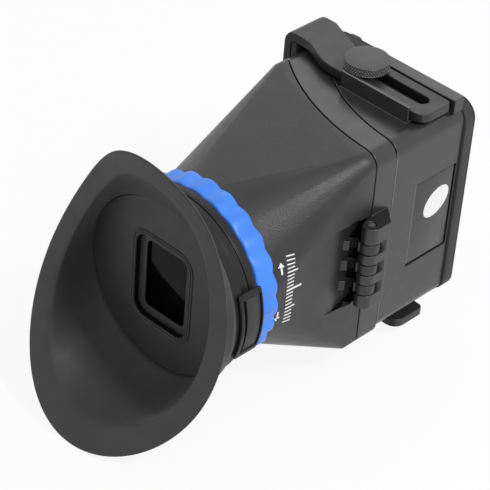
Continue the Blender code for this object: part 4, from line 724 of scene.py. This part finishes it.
class LOUPE_OT_shells(Operator):
    """Round the edges of the moulded shells: housing, middle frame, box and side cover, with painted shade
    inside and painted highlights on worn edges
    """

    bl_idname = "loupe.shells"
    bl_label = "Moulded shells"

    def execute(self, context):
        edge = context.scene.loupe_plastic.edge
        for shell in (self.housing, self.middle, self.box):
            shell(edge)
        self.cover()
        self.shield()
        return {"FINISHED"}

    def housing(self, edge):
        """The tapered housing, with a soft rim to its scoop and notched tongues; its inward faces and the
        notches take painted shade, and its seam's edge a painted highlight.
        """
        bm = carved(merged_copy("housing"), tongue_notch())
        paint_shade_inside(bm, 2)
        draw_edge(bm, SCOOP_EDGE, (SCOOP_LEAN_SHARE * SCOOP_RUN, -SCOOP_RUN, 0.0))
        # Painted shade in the notch between the barrel and the tongues' ends.
        paint(bm.faces, 2, in_notch)
        round_edges(bm, SCOOP_ROUND * MM, 5, 15.0, scoop_rim, clamp=False)
        # Painted highlight, partly wear, on the rounds at the seam.
        paint(round_edges(bm, edge, clamp=False), 1, HOUSING_SEAM)
        put_shell(bm, "housing_shell", "hood", "housing", ("grained plastic", "worn edge", "deep plastic"))

    def middle(self, edge):
        """The middle frame, with close seams on the hinge side and painted shade on its inward faces."""
        bm = merged_copy("middle_frame")
        draw_edge(bm, MIDDLE_REAR_EDGE, (0.0, 0.3, 0.0))
        draw_edge(bm, MIDDLE_FRONT_EDGE, (0.0, -0.6, 0.0))
        paint_shade_inside(bm, 1)
        round_edges(bm, edge, clamp=False)
        put_shell(bm, "middle_shell", "case", "middle_frame", ("case plastic", "deep plastic"))

    def box(self, edge):
        """The box behind the screen, with worn edges at its seam and on the rail that carry a painted
        highlight, and painted shade on its inward faces.
        """
        bm = merged_copy("rear_box")
        paint_shade_inside(bm, 2)
        rounds = round_edges(bm, edge, clamp=False)
        # Painted highlight, partly wear, on the rounds at the seam and on the rail.
        paint(rounds, 1, BOX_SEAM)
        paint(rounds, 1, RAIL_TOP)
        put_shell(bm, "box_shell", "case", "rear_box", ("case plastic", "worn edge", "deep plastic"))

    def cover(self):
        """The side cover, each edge drawn to leave a close gap in the box's recess; its front edge is worn
        and carries a painted highlight.
        """
        bm = merged_copy("side_cover")
        for chosen, shift in COVER_MOVES:
            draw_edge(bm, chosen, shift)
        # Painted highlight, partly wear, on the front edge's rounds.
        paint(round_edges(bm, COVER_ROUND * MM, clamp=False), 1, COVER_FRONT)
        put(bm, "cover_plate", "case", "side_cover", ("case plastic", "worn edge"), metres=True)

    def shield(self):
        """A dark shield that closes the view past the hinge: a sheet of painted shade."""
        bm = block(*SHADE_SHIELD_CORNERS)
        round_edges(bm, 0.2)
        put(bm, "hinge_shield", "case", "middle_frame", "inner plastic", extra=True)


class LOUPE_OT_bracket(Operator):
    """Round the bent strap of the camera bracket and line it"""

    bl_idname = "loupe.bracket"
    bl_label = "Camera bracket"

    def execute(self, context):
        bm = merged_copy("bracket")
        round_edges(bm, context.scene.loupe_plastic.edge * 1.6, 3, clamp=False)
        # Faces that look to the front take the darker finish of painted shade.
        for face in bm.faces:
            if face.normal.y < -0.6:
                face.material_index = 1
        put_shell(bm, "bracket_strap", "camera_bracket", "bracket", ("bracket plastic", "trim plastic"))
        liner = block(*LINER_CORNERS)
        round_edges(liner, 0.5, 3)
        put(liner, "strap_liner", "camera_bracket", "bracket", "liner felt", extra=True)
        return {"FINISHED"}


# Soft pieces


class LOUPE_OT_gasket(Operator):
    """Draw the rubber band that meets the camera's screen"""

    bl_idname = "loupe.gasket"
    bl_label = "Screen band"

    def execute(self, context):
        rings = []
        for y, inset in BAND_PROFILE:
            radius = BAND_CORNER - min(inset, (inset + BAND_EASE) / 2)
            loop = outline(BAND_HALF_W - inset, BAND_HALF_H - inset, radius, 12, 8)
            rings.append([(a, y, b) for a, b in loop])
        put(drawn_skin(rings), "screen_band", "case", "rear_gasket", "band rubber")
        return {"FINISHED"}


def rim_point(angle, inset, lift=0.0):
    """A point of the eyecup's rim; inset draws it in to the axis and lift moves it to the rear."""
    near = 0.5 + 0.5 * math.cos(angle)
    narrowing = RIM_POINT_SHARE * near ** RIM_POINT_POWER - RIM_BLUNT_SHARE * near ** RIM_BLUNT_POWER
    up = RIM_SHIFT + (RIM_HALF_LENGTH - inset) * math.cos(angle)
    side = (RIM_HALF_WIDTH - inset) * math.sin(angle) * (1 - narrowing)
    up_share, side_share = up / RIM_SPAN, side / RIM_SPAN
    y = RIM_Y + RIM_TILT * up_share + RIM_BOW * up_share ** 2 + RIM_SIDE_BOW * side_share ** 2
    return Vector((side, y + lift, up))


def smooth_share(share, table):
    """Read a smooth curve through a table of shares."""
    points = ((0.0, 0.0),) + table + ((1.0, 1.0),)
    for index in range(len(points) - 1):
        start, end = points[index], points[index + 1]
        if share <= end[0]:
            before = points[max(index - 1, 0)]
            after = points[min(index + 2, len(points) - 1)]
            slope_in = (end[1] - before[1]) / (end[0] - before[0])
            slope_out = (after[1] - start[1]) / (after[0] - start[0])
            run = end[0] - start[0]
            t = (share - start[0]) / run
            return ((2 * t ** 3 - 3 * t ** 2 + 1) * start[1] + (t ** 3 - 2 * t ** 2 + t) * run * slope_in
                    + (3 * t ** 2 - 2 * t ** 3) * end[1] + (t ** 3 - t ** 2) * run * slope_out)
    return 1.0


def bowl_rings(angles):
    """Rings from the seat through the bowl and over the lip, softened where the two meet."""
    root = [Vector(around(a, CUP_SEAT_R, CUP_BOWL_Y)) for a in angles]
    lip = [rim_point(a, LIP_W) for a in angles]
    rings = [root]
    for share in BOWL_OUT_SHARES:
        forward = smooth_share(share, BOWL_SHARES)
        rings.append([start + Vector(((end.x - start.x) * share, (end.y - start.y) * forward,
                                      (end.z - start.z) * share)) for start, end in zip(root, lip)])
    for inset in LIP_INSETS:
        rings.append([rim_point(a, LIP_W - inset) for a in angles])
    for _ in range(LIP_PASSES):
        for index in range(BOWL_STEPS - 3, BOWL_STEPS + 4):
            rings[index] = [(before + here * 2 + after) / 4 for before, here, after
                            in zip(rings[index - 1], rings[index], rings[index + 1])]
    return rings


def wall_rings(rows):
    """The back of each row but the first, with a wall that thins towards the lip's edge."""
    last = len(rows) - 1
    walls = []
    for index in range(1, len(rows)):
        row, before, after = rows[index], rows[index - 1], rows[min(index + 1, last)]
        share = max(0.0, (index - BOWL_STEPS) / (last - BOWL_STEPS))
        depth = CUP_WALL + (CUP_LIP_T - CUP_WALL) * share
        wall = []
        for column, point in enumerate(row):
            across = row[(column + 1) % len(row)] - row[column - 1]
            wall.append(point + (after[column] - before[column]).cross(across).normalized() * depth)
        walls.append(wall)
    return walls[::-1]


def neck_rings(settings, angles):
    """The neck from its front end to its rear end, ribbed on its lower side."""
    rings = []
    for y, depth in NECK_LEVELS:
        ring = []
        for index, a in enumerate(angles):
            under = min(1.0, max(0.0, -0.1 - 4.0 * math.cos(a)))
            low = depth * under * settings.rib_depth / MM if index % RIB_COLUMNS == 0 else 0.0
            ring.append(Vector(around(a, CUP_OUTER_R - low, y)))
        rings.append(ring)
    return rings


class LOUPE_OT_eyecup(Operator):
    """Draw the soft eyecup with its broad lip and ribbed neck"""

    bl_idname = "loupe.eyecup"
    bl_label = "Eyecup"

    def execute(self, context):
        settings = context.scene.loupe_rubber
        count = settings.ribs * RIB_COLUMNS
        angles = [2 * math.pi * index / count for index in range(count)]
        edge = settings.lip_round / MM
        rows = bowl_rings(angles) + [[rim_point(a, edge, LIP_EDGE_LIFT) for a in angles]]
        tip = [rim_point(a, 0.0, edge * LIP_TIP_SHARE) for a in angles]
        seat = [[Vector(around(a, radius, y)) for a in angles] for radius, y in SEAT_PROFILE]
        bm = drawn_skin(rows + [tip] + wall_rings(rows) + neck_rings(settings, angles) + seat)
        # The neck and the seat take the darker finish of painted shade.
        for face in bm.faces:
            face.material_index = 1 if face.calc_center_median().y > CUP_SEAT_Y - 1.0 else 0
        put(turned(bm, CUP_TURN, "Y"), "eyecup_rubber", "cup", "eyecup",
            ("eyecup rubber", "trim plastic"), angle=50.0)
        return {"FINISHED"}


# Focus ring and eyepiece


class LOUPE_OT_focus_ring(Operator):
    """Draw the scalloped focus ring"""

    bl_idname = "loupe.focus_ring"
    bl_label = "Focus ring"

    def execute(self, context):
        settings = context.scene.loupe_ring
        count = settings.scallops * RING_COLUMNS
        angles = [2 * math.pi * index / count for index in range(count)]
        edge = settings.edge / MM
        levels = []
        for share in (0.0, 0.3, 0.7, 1.0):
            drop = edge * (1 - math.sin(share * math.pi / 2))
            levels.append((RING_REAR_Y - edge * (1 - math.cos(share * math.pi / 2)),
                           RING_CREST_R - drop, RING_VALLEY_R - drop))
        rings = []
        for y, crest, valley in levels + list(RING_FALL):
            waves = [(0.5 + 0.5 * math.cos(settings.scallops * angle)) ** RING_POWER for angle in angles]
            rings.append([around(angle, valley + (crest - valley) * wave, y)
                          for angle, wave in zip(angles, waves)])
        for radius, y in RING_BORE:
            rings.append([around(angle, radius, y) for angle in angles])
        put(drawn_skin(rings), "focus_grip", "focus", "focus_ring", "ring plastic", angle=50.0)
        return {"FINISHED"}


def clip_frame():
    """A curved rectangular frame on the collar, centred on the hinge side."""
    half_arc = CLIP_ARC * CLIP_OUTER_R
    half_y = (COLLAR_REAR_Y - CLIP_FRONT_Y) / 2
    middle_y = (COLLAR_REAR_Y + CLIP_FRONT_Y) / 2
    outer = outline(half_arc, half_y, CLIP_CORNER, 4, 12)
    inner = outline(half_arc - CLIP_BAR, half_y - CLIP_BAR / 2, CLIP_INNER_CORNER, 4, 12)
    inner = [(a, b + CLIP_BAR / 2 - CLIP_REAR_BAR) for a, b in inner]
    rings = []
    for loop, radius in ((outer, CLIP_INNER_R), (outer, CLIP_OUTER_R), (inner, CLIP_OUTER_R),
                         (inner, CLIP_INNER_R)):
        rings.append([around(math.pi / 2 - a / CLIP_OUTER_R, radius, middle_y + b) for a, b in loop])
    bm = drawn_skin(rings)
    round_edges(bm, CLIP_ROUND, angle=50.0)
    return bm


def clip_pad():
    """The curved pad that carries the frame on the collar and fills it."""
    half_arc = CLIP_ARC * CLIP_OUTER_R - CLIP_BAR - PAD_GAP
    bm = bmesh.new()
    bmesh.ops.create_grid(bm, x_segments=24, y_segments=2, size=0.5)
    for vert in bm.verts:
        angle = math.pi / 2 - vert.co.x * 2 * half_arc / CLIP_OUTER_R
        y = (PAD_REAR_Y + PAD_FRONT_Y) / 2 + vert.co.y * (PAD_REAR_Y - PAD_FRONT_Y)
        vert.co = around(angle, PAD_R, y)
    bmesh.ops.recalc_face_normals(bm, faces=bm.faces)
    if sum(face.normal.x for face in bm.faces) < 0.0:
        bmesh.ops.reverse_faces(bm, faces=bm.faces)
    bmesh.ops.solidify(bm, geom=bm.faces[:], thickness=PAD_R - COLLAR_R + PAD_SINK)
    bmesh.ops.recalc_face_normals(bm, faces=bm.faces)
    round_edges(bm, PAD_ROUND, angle=50.0)
    return bm


class LOUPE_OT_eyepiece(Operator):
    """Spin the eyepiece collar and draw its two raised clips"""

    bl_idname = "loupe.eyepiece"
    bl_label = "Eyepiece collar"

    def execute(self, context):
        bm = spun(COLLAR_PROFILE)
        round_edges(bm, COLLAR_ROUND)
        # The sleeve and the clip frames take the darker finish of painted shade.
        put(bm, "eyepiece_sleeve", "eyepiece", "eyepiece_collar", "trim plastic")
        for side, turn in (("right", 0.0), ("left", math.pi)):
            node = "eyepiece_clip_" + side
            put(turned(clip_frame(), turn, "Y"), "clip_frame_" + side, "eyepiece", node, "trim plastic")
            put(turned(clip_pad(), turn, "Y"), "clip_pad_" + side, "eyepiece", node, "face plastic",
                extra=True)
        return {"FINISHED"}


class LOUPE_OT_window(Operator):
    """Round the face plate and lay the double line round its window"""

    bl_idname = "loupe.window"
    bl_label = "Window"

    def execute(self, context):
        bm = merged_copy("face_plate")
        round_edges(bm, WINDOW_ROUND * MM, clamp=False)
        # The window's side walls take the darker finish of painted shade.
        for face in bm.faces:
            middle = middle_of(face)
            if abs(face.normal.y) < 0.5 and abs(middle.x) < WINDOW_WALL_X and abs(middle.z) < WINDOW_WALL_Z:
                face.material_index = 1
        put_shell(bm, "face_disc", "eyepiece", "face_plate", ("face plastic", "deep plastic"))
        rings = []
        for out, height in LINE_PROFILE:
            loop = outline(WINDOW_W / 2 + out, WINDOW_H / 2 + out, WINDOW_CORNER + out, 10)
            rings.append([(a, FACE_Y - height, b) for a, b in loop])
        put(drawn_skin(rings), "window_line", "eyepiece", "face_plate", "face plastic", extra=True)
        return {"FINISHED"}


# Knurled screws


def knob_levels(radius, face, thickness, shank_radius, shank_end):
    """Radius, height and tooth of each ring from the head's middle down to the shank's end."""
    rear = face - thickness
    groove_r = radius - KNURL_MARGIN
    levels = [(0.2, face, 0.0), (groove_r, face, 0.0), (radius - 0.12, face - 0.05, 0.0),
              (radius - 0.02, face - 0.18, 0.0)]
    band = (thickness - 3 * KNURL_MARGIN) / 2
    upper = face - KNURL_MARGIN
    for start in (upper, upper - KNURL_MARGIN - band):
        levels += [(radius, start, -KNURL_DEPTH), (radius, start - band / 2, KNURL_DEPTH),
                   (radius, start - band, -KNURL_DEPTH)]
        if start == upper:
            levels += [(groove_r, start - band - 0.08, 0.0), (groove_r, start - band - 0.22, 0.0)]
    return levels + [(radius - 0.12, rear + 0.12, 0.0), (radius - 0.4, rear, 0.0),
                     (shank_radius + 0.3, rear, 0.0), (shank_radius, rear - 0.3, 0.0),
                     (shank_radius, shank_end + 0.3, 0.0), (shank_radius - 0.3, shank_end, 0.0)]


def knob(radius, face, thickness, shank_radius, shank_end):
    """A head about +Z with two bands of small pyramids, and its shank.

    The knurled side takes the second finish, and its faces that look down the third, which on the
    thumbscrews is painted shade.
    """
    rings = []
    for reach, height, tooth in knob_levels(radius, face, thickness, shank_radius, shank_end):
        ring = []
        for index in range(KNURL_COLUMNS):
            angle = 2 * math.pi * index / KNURL_COLUMNS
            low = tooth and (index % 2 == 0) == (tooth > 0.0)
            tip = reach - (abs(tooth) if low else 0.0)
            ring.append((tip * math.cos(angle), tip * math.sin(angle), height))
        rings.append(ring)
    bm = drawn_skin(rings, closed=False)
    for piece in list(bm.faces):
        middle = piece.calc_center_median()
        if math.hypot(middle.x, middle.y) > radius - KNURL_W and middle.z < face - KNURL_MARGIN / 2:
            piece.material_index = 1
            valleys = sorted(piece.verts, key=lambda vert: math.hypot(vert.co.x, vert.co.y))[:2]
            if len(piece.verts) == 4 and not bm.edges.get(valleys):
                bmesh.utils.face_split(piece, *valleys)
    bm.normal_update()
    for piece in bm.faces:
        if piece.material_index == 1 and abs(piece.normal.z) < 0.9 and piece.normal.z < -0.05:
            piece.material_index = 2
    return bm


class LOUPE_OT_thumbscrews(Operator):
    """Draw the two knurled thumbscrews of the bracket"""

    bl_idname = "loupe.thumbscrews"
    bl_label = "Thumbscrews"

    def execute(self, context):
        for side, turn in (("top", 0.0), ("bottom", math.pi)):
            bm = turned(knob(KNOB_R, KNOB_FACES[side], KNOB_T, KNOB_SHANK_R, KNOB_SHANK_END), turn, "X")
            bmesh.ops.translate(bm, vec=(KNOB_X, SLOT_Y, 0.0), verts=bm.verts)
            # The knurl's faces that look down take the darker finish of painted shade.
            put(bm, side + "_knob", side + "_knob", "thumbscrew_" + side,
                ("knob metal", "knurl metal", "deep plastic"), angle=20.0)
        return {"FINISHED"}


class LOUPE_OT_camera_screw(Operator):
    """Draw the knurled camera screw on the base plate"""

    bl_idname = "loupe.camera_screw"
    bl_label = "Camera screw"

    def execute(self, context):
        low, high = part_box("camera_screw")
        face = (ORIGIN.x - low.x) / MM
        end = (ORIGIN.x - high.x) / MM
        bm = turned(knob(CAMERA_KNOB_R, face, CAMERA_KNOB_T, CAMERA_SHANK_R, end), -math.pi / 2, "Y")
        bmesh.ops.translate(bm, vec=(0.0, CAMERA_SLOT_Y, 0.0), verts=bm.verts)
        put(bm, "camera_knob", "camera_bolt", "camera_screw", ("steel",) * 3, angle=20.0)
        return {"FINISHED"}


# Printed scale and sticker


def printed_shape(bm, flat, tree, lift=PRINT_LIFT):
    """Lay a flat shape of Y and Z on the hinge side of what a tree holds, as a thin print."""
    for vert in flat.verts:
        hit, normal, _, _ = tree.ray_cast(place(60.0, vert.co.x, vert.co.y), Vector((-1.0, 0.0, 0.0)))
        if hit is None:
            raise RuntimeError("a printed mark misses the surface")
        vert.co = hit + normal * lift * MM
    for face in flat.faces:
        face.normal_update()
        if face.normal.x < 0.0:
            face.normal_flip()
    bmesh.ops.solidify(flat, geom=flat.faces[:], thickness=lift * 1.5 * MM)
    data = mesh_of(flat, "print")
    bm.from_mesh(data)
    bpy.data.meshes.remove(data)


def flat_bar(start_y, end_y, middle_z, width):
    """A flat bar of Y and Z cut into short lengths."""
    flat = bmesh.new()
    bmesh.ops.create_grid(flat, x_segments=6, y_segments=2, size=0.5)
    bmesh.ops.scale(flat, vec=(abs(end_y - start_y), width, 1.0), verts=flat.verts)
    bmesh.ops.translate(flat, vec=((start_y + end_y) / 2, middle_z, 0.0), verts=flat.verts)
    return flat


def flat_point(middle_y, base_z, tip_z, half_width):
    """A flat arrow head of Y and Z."""
    flat = bmesh.new()
    corners = ((middle_y - half_width, base_z), (middle_y + half_width, base_z), (middle_y, tip_z))
    bmesh.ops.contextual_create(flat, geom=[flat.verts.new((y, z, 0.0)) for y, z in corners])
    return flat


def surface_of(name):
    """A search tree of a finished piece's surface."""
    bm = bmesh.new()
    bm.from_mesh(bpy.data.objects[name].data)
    tree = BVHTree.FromBMesh(bm)
    bm.free()
    return tree


class LOUPE_OT_marks(Operator):
    """Print the focus scale's ticks and its two arrows on the housing"""

    bl_idname = "loupe.marks"
    bl_label = "Printed scale"

    def execute(self, context):
        tree = surface_of("housing_shell")
        bm = bmesh.new()
        self.ticks(bm, tree, context.scene.loupe_marks)
        self.arrows(bm, tree)
        put(bm, "scale_marks", "hood", "housing", "print", extra=True, metres=True)
        return {"FINISHED"}

    def ticks(self, bm, tree, settings):
        """The row of ticks, with a long one on each side and the longest in the middle."""
        width = settings.tick_width / MM
        for index in range(-settings.ticks, settings.ticks + 1):
            rear_y, broad = LONG_TICKS.get(abs(index), SHORT_TICK)
            z = SCALE_Z + index * settings.pitch / MM
            printed_shape(bm, flat_bar(SCALE_FRONT_Y, rear_y, z, width * broad), tree)

    def arrows(self, bm, tree):
        """An arrow at each end of the scale."""
        for y, tail, tip in ARROWS:
            neck = tip - math.copysign(ARROW_HEAD_LENGTH, tip - tail)
            shaft = flat_bar(y - ARROW_SHAFT_HALF_W, y + ARROW_SHAFT_HALF_W, (tail + neck) / 2,
                             abs(neck - tail) + ARROW_LAP)
            printed_shape(bm, shaft, tree)
            printed_shape(bm, flat_point(y, neck, tip, ARROW_HEAD_HALF_W), tree, ARROW_LIFT)


class LOUPE_OT_sticker(Operator):
    """Lay the blank oval sticker on the side cover"""

    bl_idname = "loupe.sticker"
    bl_label = "Blank sticker"

    def execute(self, context):
        settings = context.scene.loupe_marks
        bm = bmesh.new()
        bmesh.ops.create_circle(bm, cap_ends=True, segments=64, radius=1.0)
        top = bmesh.ops.extrude_face_region(bm, geom=bm.faces[:])["geom"]
        raised = [item for item in top if isinstance(item, bmesh.types.BMVert)]
        bmesh.ops.translate(bm, vec=(0.0, 0.0, STICKER_T), verts=raised)
        bmesh.ops.scale(bm, vec=(settings.sticker_length / MM / 2, settings.sticker_width / MM / 2, 1.0),
                        verts=bm.verts)
        tilt = Matrix.Rotation(settings.sticker_tilt, 3, "X")
        stand = Matrix(((0, 0, 1), (1, 0, 0), (0, 1, 0)))
        bmesh.ops.rotate(bm, cent=(0.0, 0.0, 0.0), matrix=tilt @ stand, verts=bm.verts)
        bmesh.ops.translate(bm, vec=STICKER_PLACE, verts=bm.verts)
        bmesh.ops.recalc_face_normals(bm, faces=bm.faces)
        round_edges(bm, STICKER_ROUND, 1)
        put(bm, "blank_sticker", "case", "side_cover", "sticker", extra=True)
        return {"FINISHED"}


# CAD nodes that are shown as they are, by how their names start


NODE_FINISHES = {
    "steel": ("hinge_pin", "case_screw_", "cam_pin_", "washer_", "camera_washer", "camera_clip"),
    "plating": ("frame_magnet_", "housing_magnet_"),
    "brass": ("insert_",),
    "lens glass": ("eye_lens", "field_lens"),
    # The pane's dark tint is painted shade.
    "window glass": ("window_pane",),
    # The screen's mask and the inner tubes take the darker plastic of painted shade.
    "deep plastic": ("screen_mask", "lens_"),
    # The ring keeper takes the darker trim plastic of painted shade.
    "trim plastic": ("ring_keeper",),
}


class LOUPE_OT_inner_parts(Operator):
    """Give the fasteners, lenses and inner tubes their finishes"""

    bl_idname = "loupe.inner_parts"
    bl_label = "Inner parts"

    def execute(self, context):
        for kind, starts in NODE_FINISHES.items():
            for name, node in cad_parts.items():
                if name.startswith(starts):
                    for holder in node.material_slots:
                        holder.material = finish(kind)
        return {"FINISHED"}


# Studio


def seen_share(nodes, links, share):
    """A share for rays that look at a surface, mirror it or pass glass to it, and zero for others."""
    path = nodes.new("ShaderNodeLightPath")
    seen = path.outputs["Is Camera Ray"]
    for extra in ("Is Glossy Ray", "Is Transmission Ray"):
        both = nodes.new("ShaderNodeMath")
        both.operation = "MAXIMUM"
        links.new(seen, both.inputs[0])
        links.new(path.outputs[extra], both.inputs[1])
        seen = both.outputs["Value"]
    level = nodes.new("ShaderNodeMath")
    level.operation = "MULTIPLY"
    level.inputs[1].default_value = share
    links.new(seen, level.inputs[0])
    return level.outputs["Value"]


class LOUPE_OT_stage(Operator):
    """Set up the floor, the even white surround, the soft lamps and the camera"""

    bl_idname = "loupe.stage"
    bl_label = "Studio"

    def execute(self, context):
        settings = context.scene.loupe_stage
        self.floor(settings)
        self.surround(settings)
        self.lamps(settings)
        self.camera(settings)
        context.scene.view_settings.view_transform = "Standard"
        return {"FINISHED"}

    def floor(self, settings):
        """A wide pale floor under the object's lowest point."""
        bm = bmesh.new()
        bmesh.ops.create_grid(bm, x_segments=1, y_segments=1, size=FLOOR_HALF)
        bmesh.ops.translate(bm, vec=(0.0, 0.0, -FLOOR_GAP), verts=bm.verts)
        data = mesh_of(bm, "studio_floor")
        made = bpy.data.materials.new("studio floor")
        made.use_nodes = True
        nodes, links = made.node_tree.nodes, made.node_tree.links
        nodes.remove(nodes["Principled BSDF"])
        diffuse = added(nodes, "ShaderNodeBsdfDiffuse", {"Color": (*settings.floor_color, 1.0)})
        glow = added(nodes, "ShaderNodeEmission", {"Strength": 1.0})
        mix = nodes.new("ShaderNodeMixShader")
        links.new(seen_share(nodes, links, FLOOR_GLOW_SHARE), mix.inputs["Fac"])
        links.new(diffuse.outputs["BSDF"], mix.inputs[1])
        links.new(glow.outputs["Emission"], mix.inputs[2])
        links.new(mix.outputs["Shader"], nodes["Material Output"].inputs["Surface"])
        data.materials.append(made)
        floor = linked("studio_floor", data)

    def surround(self, settings):
        """The even light of a white room, seen as white."""
        world = bpy.data.worlds.new("studio surround")
        world.use_nodes = True
        nodes, links = world.node_tree.nodes, world.node_tree.links
        level = added(nodes, "ShaderNodeMapRange", {"To Min": settings.world_level, "To Max": 1.0})
        links.new(seen_share(nodes, links, 1.0), level.inputs["Value"])
        backdrop = nodes["Background"]
        backdrop.inputs["Color"].default_value = (1.0, 1.0, 1.0, 1.0)
        links.new(level.outputs["Result"], backdrop.inputs["Strength"])
        bpy.context.scene.world = world

    def lamps(self, settings):
        """A large faint lamp and a small one that draws the streak, aimed at the object's middle."""
        target = ORIGIN + Vector(LAMP_TARGET)
        for name, (spot, size, power) in LAMPS.items():
            lamp = bpy.data.lights.new(name, "AREA")
            lamp.shape = "SQUARE"
            lamp.size = size
            lamp.energy = getattr(settings, power)
            item = linked(name, lamp)
            item.location = target + Vector(spot)
            item.rotation_euler = (-Vector(spot)).to_track_quat("-Z", "Y").to_euler()

    def camera(self, settings):
        """The camera where the photograph was taken from."""
        data = bpy.data.cameras.new("loupe_camera")
        data.sensor_width = SENSOR_W
        data.lens = settings.lens
        data.clip_start = 0.01
        turn = Matrix(CAMERA_AXES).transposed().to_4x4()
        item = linked("loupe_camera", data)
        item.matrix_world = Matrix.Translation(place(*CAMERA_PLACE)) @ turn
        bpy.context.scene.camera = item


class LOUPE_PT_sidebar(Panel):
    """Every step of the loupe's dressing, in order"""

    bl_idname = "LOUPE_PT_sidebar"
    bl_label = "Viewfinder loupe"
    bl_space_type = "VIEW_3D"
    bl_region_type = "UI"
    bl_category = "Loupe"

    def draw(self, context):
        for operator in PIECE_OPERATORS:
            self.layout.operator(operator.bl_idname)
        for name in SETTINGS:
            group = getattr(context.scene, name)
            box = self.layout.box()
            for key in group.__annotations__:
                box.prop(group, key)


PIECE_OPERATORS = (
    LOUPE_OT_shells,
    LOUPE_OT_bracket,
    LOUPE_OT_gasket,
    LOUPE_OT_eyecup,
    LOUPE_OT_focus_ring,
    LOUPE_OT_eyepiece,
    LOUPE_OT_window,
    LOUPE_OT_thumbscrews,
    LOUPE_OT_camera_screw,
    LOUPE_OT_marks,
    LOUPE_OT_sticker,
    LOUPE_OT_inner_parts,
    LOUPE_OT_stage,
)

SETTINGS = {
    "loupe_rubber": LoupeRubberSettings,
    "loupe_plastic": LoupePlasticSettings,
    "loupe_ring": LoupeRingSettings,
    "loupe_marks": LoupeMarkSettings,
    "loupe_stage": LoupeStageSettings,
}


def register():
    """Make the settings, the operators and the panel known."""
    for name, group in SETTINGS.items():
        bpy.utils.register_class(group)
        setattr(bpy.types.Scene, name, PointerProperty(type=group))
    for item in PIECE_OPERATORS + (LOUPE_PT_sidebar,):
        bpy.utils.register_class(item)


def unregister():
    """Take them away again."""
    for item in (LOUPE_PT_sidebar,) + PIECE_OPERATORS[::-1]:
        bpy.utils.unregister_class(item)
    for name, group in SETTINGS.items():
        delattr(bpy.types.Scene, name)
        bpy.utils.unregister_class(group)


def main():
    """Dress the loupe and set up the studio."""
    register()
    for operator in PIECE_OPERATORS:
        group, name = operator.bl_idname.split(".")
        getattr(getattr(bpy.ops, group), name)()


if __name__ == "__main__":
    main()
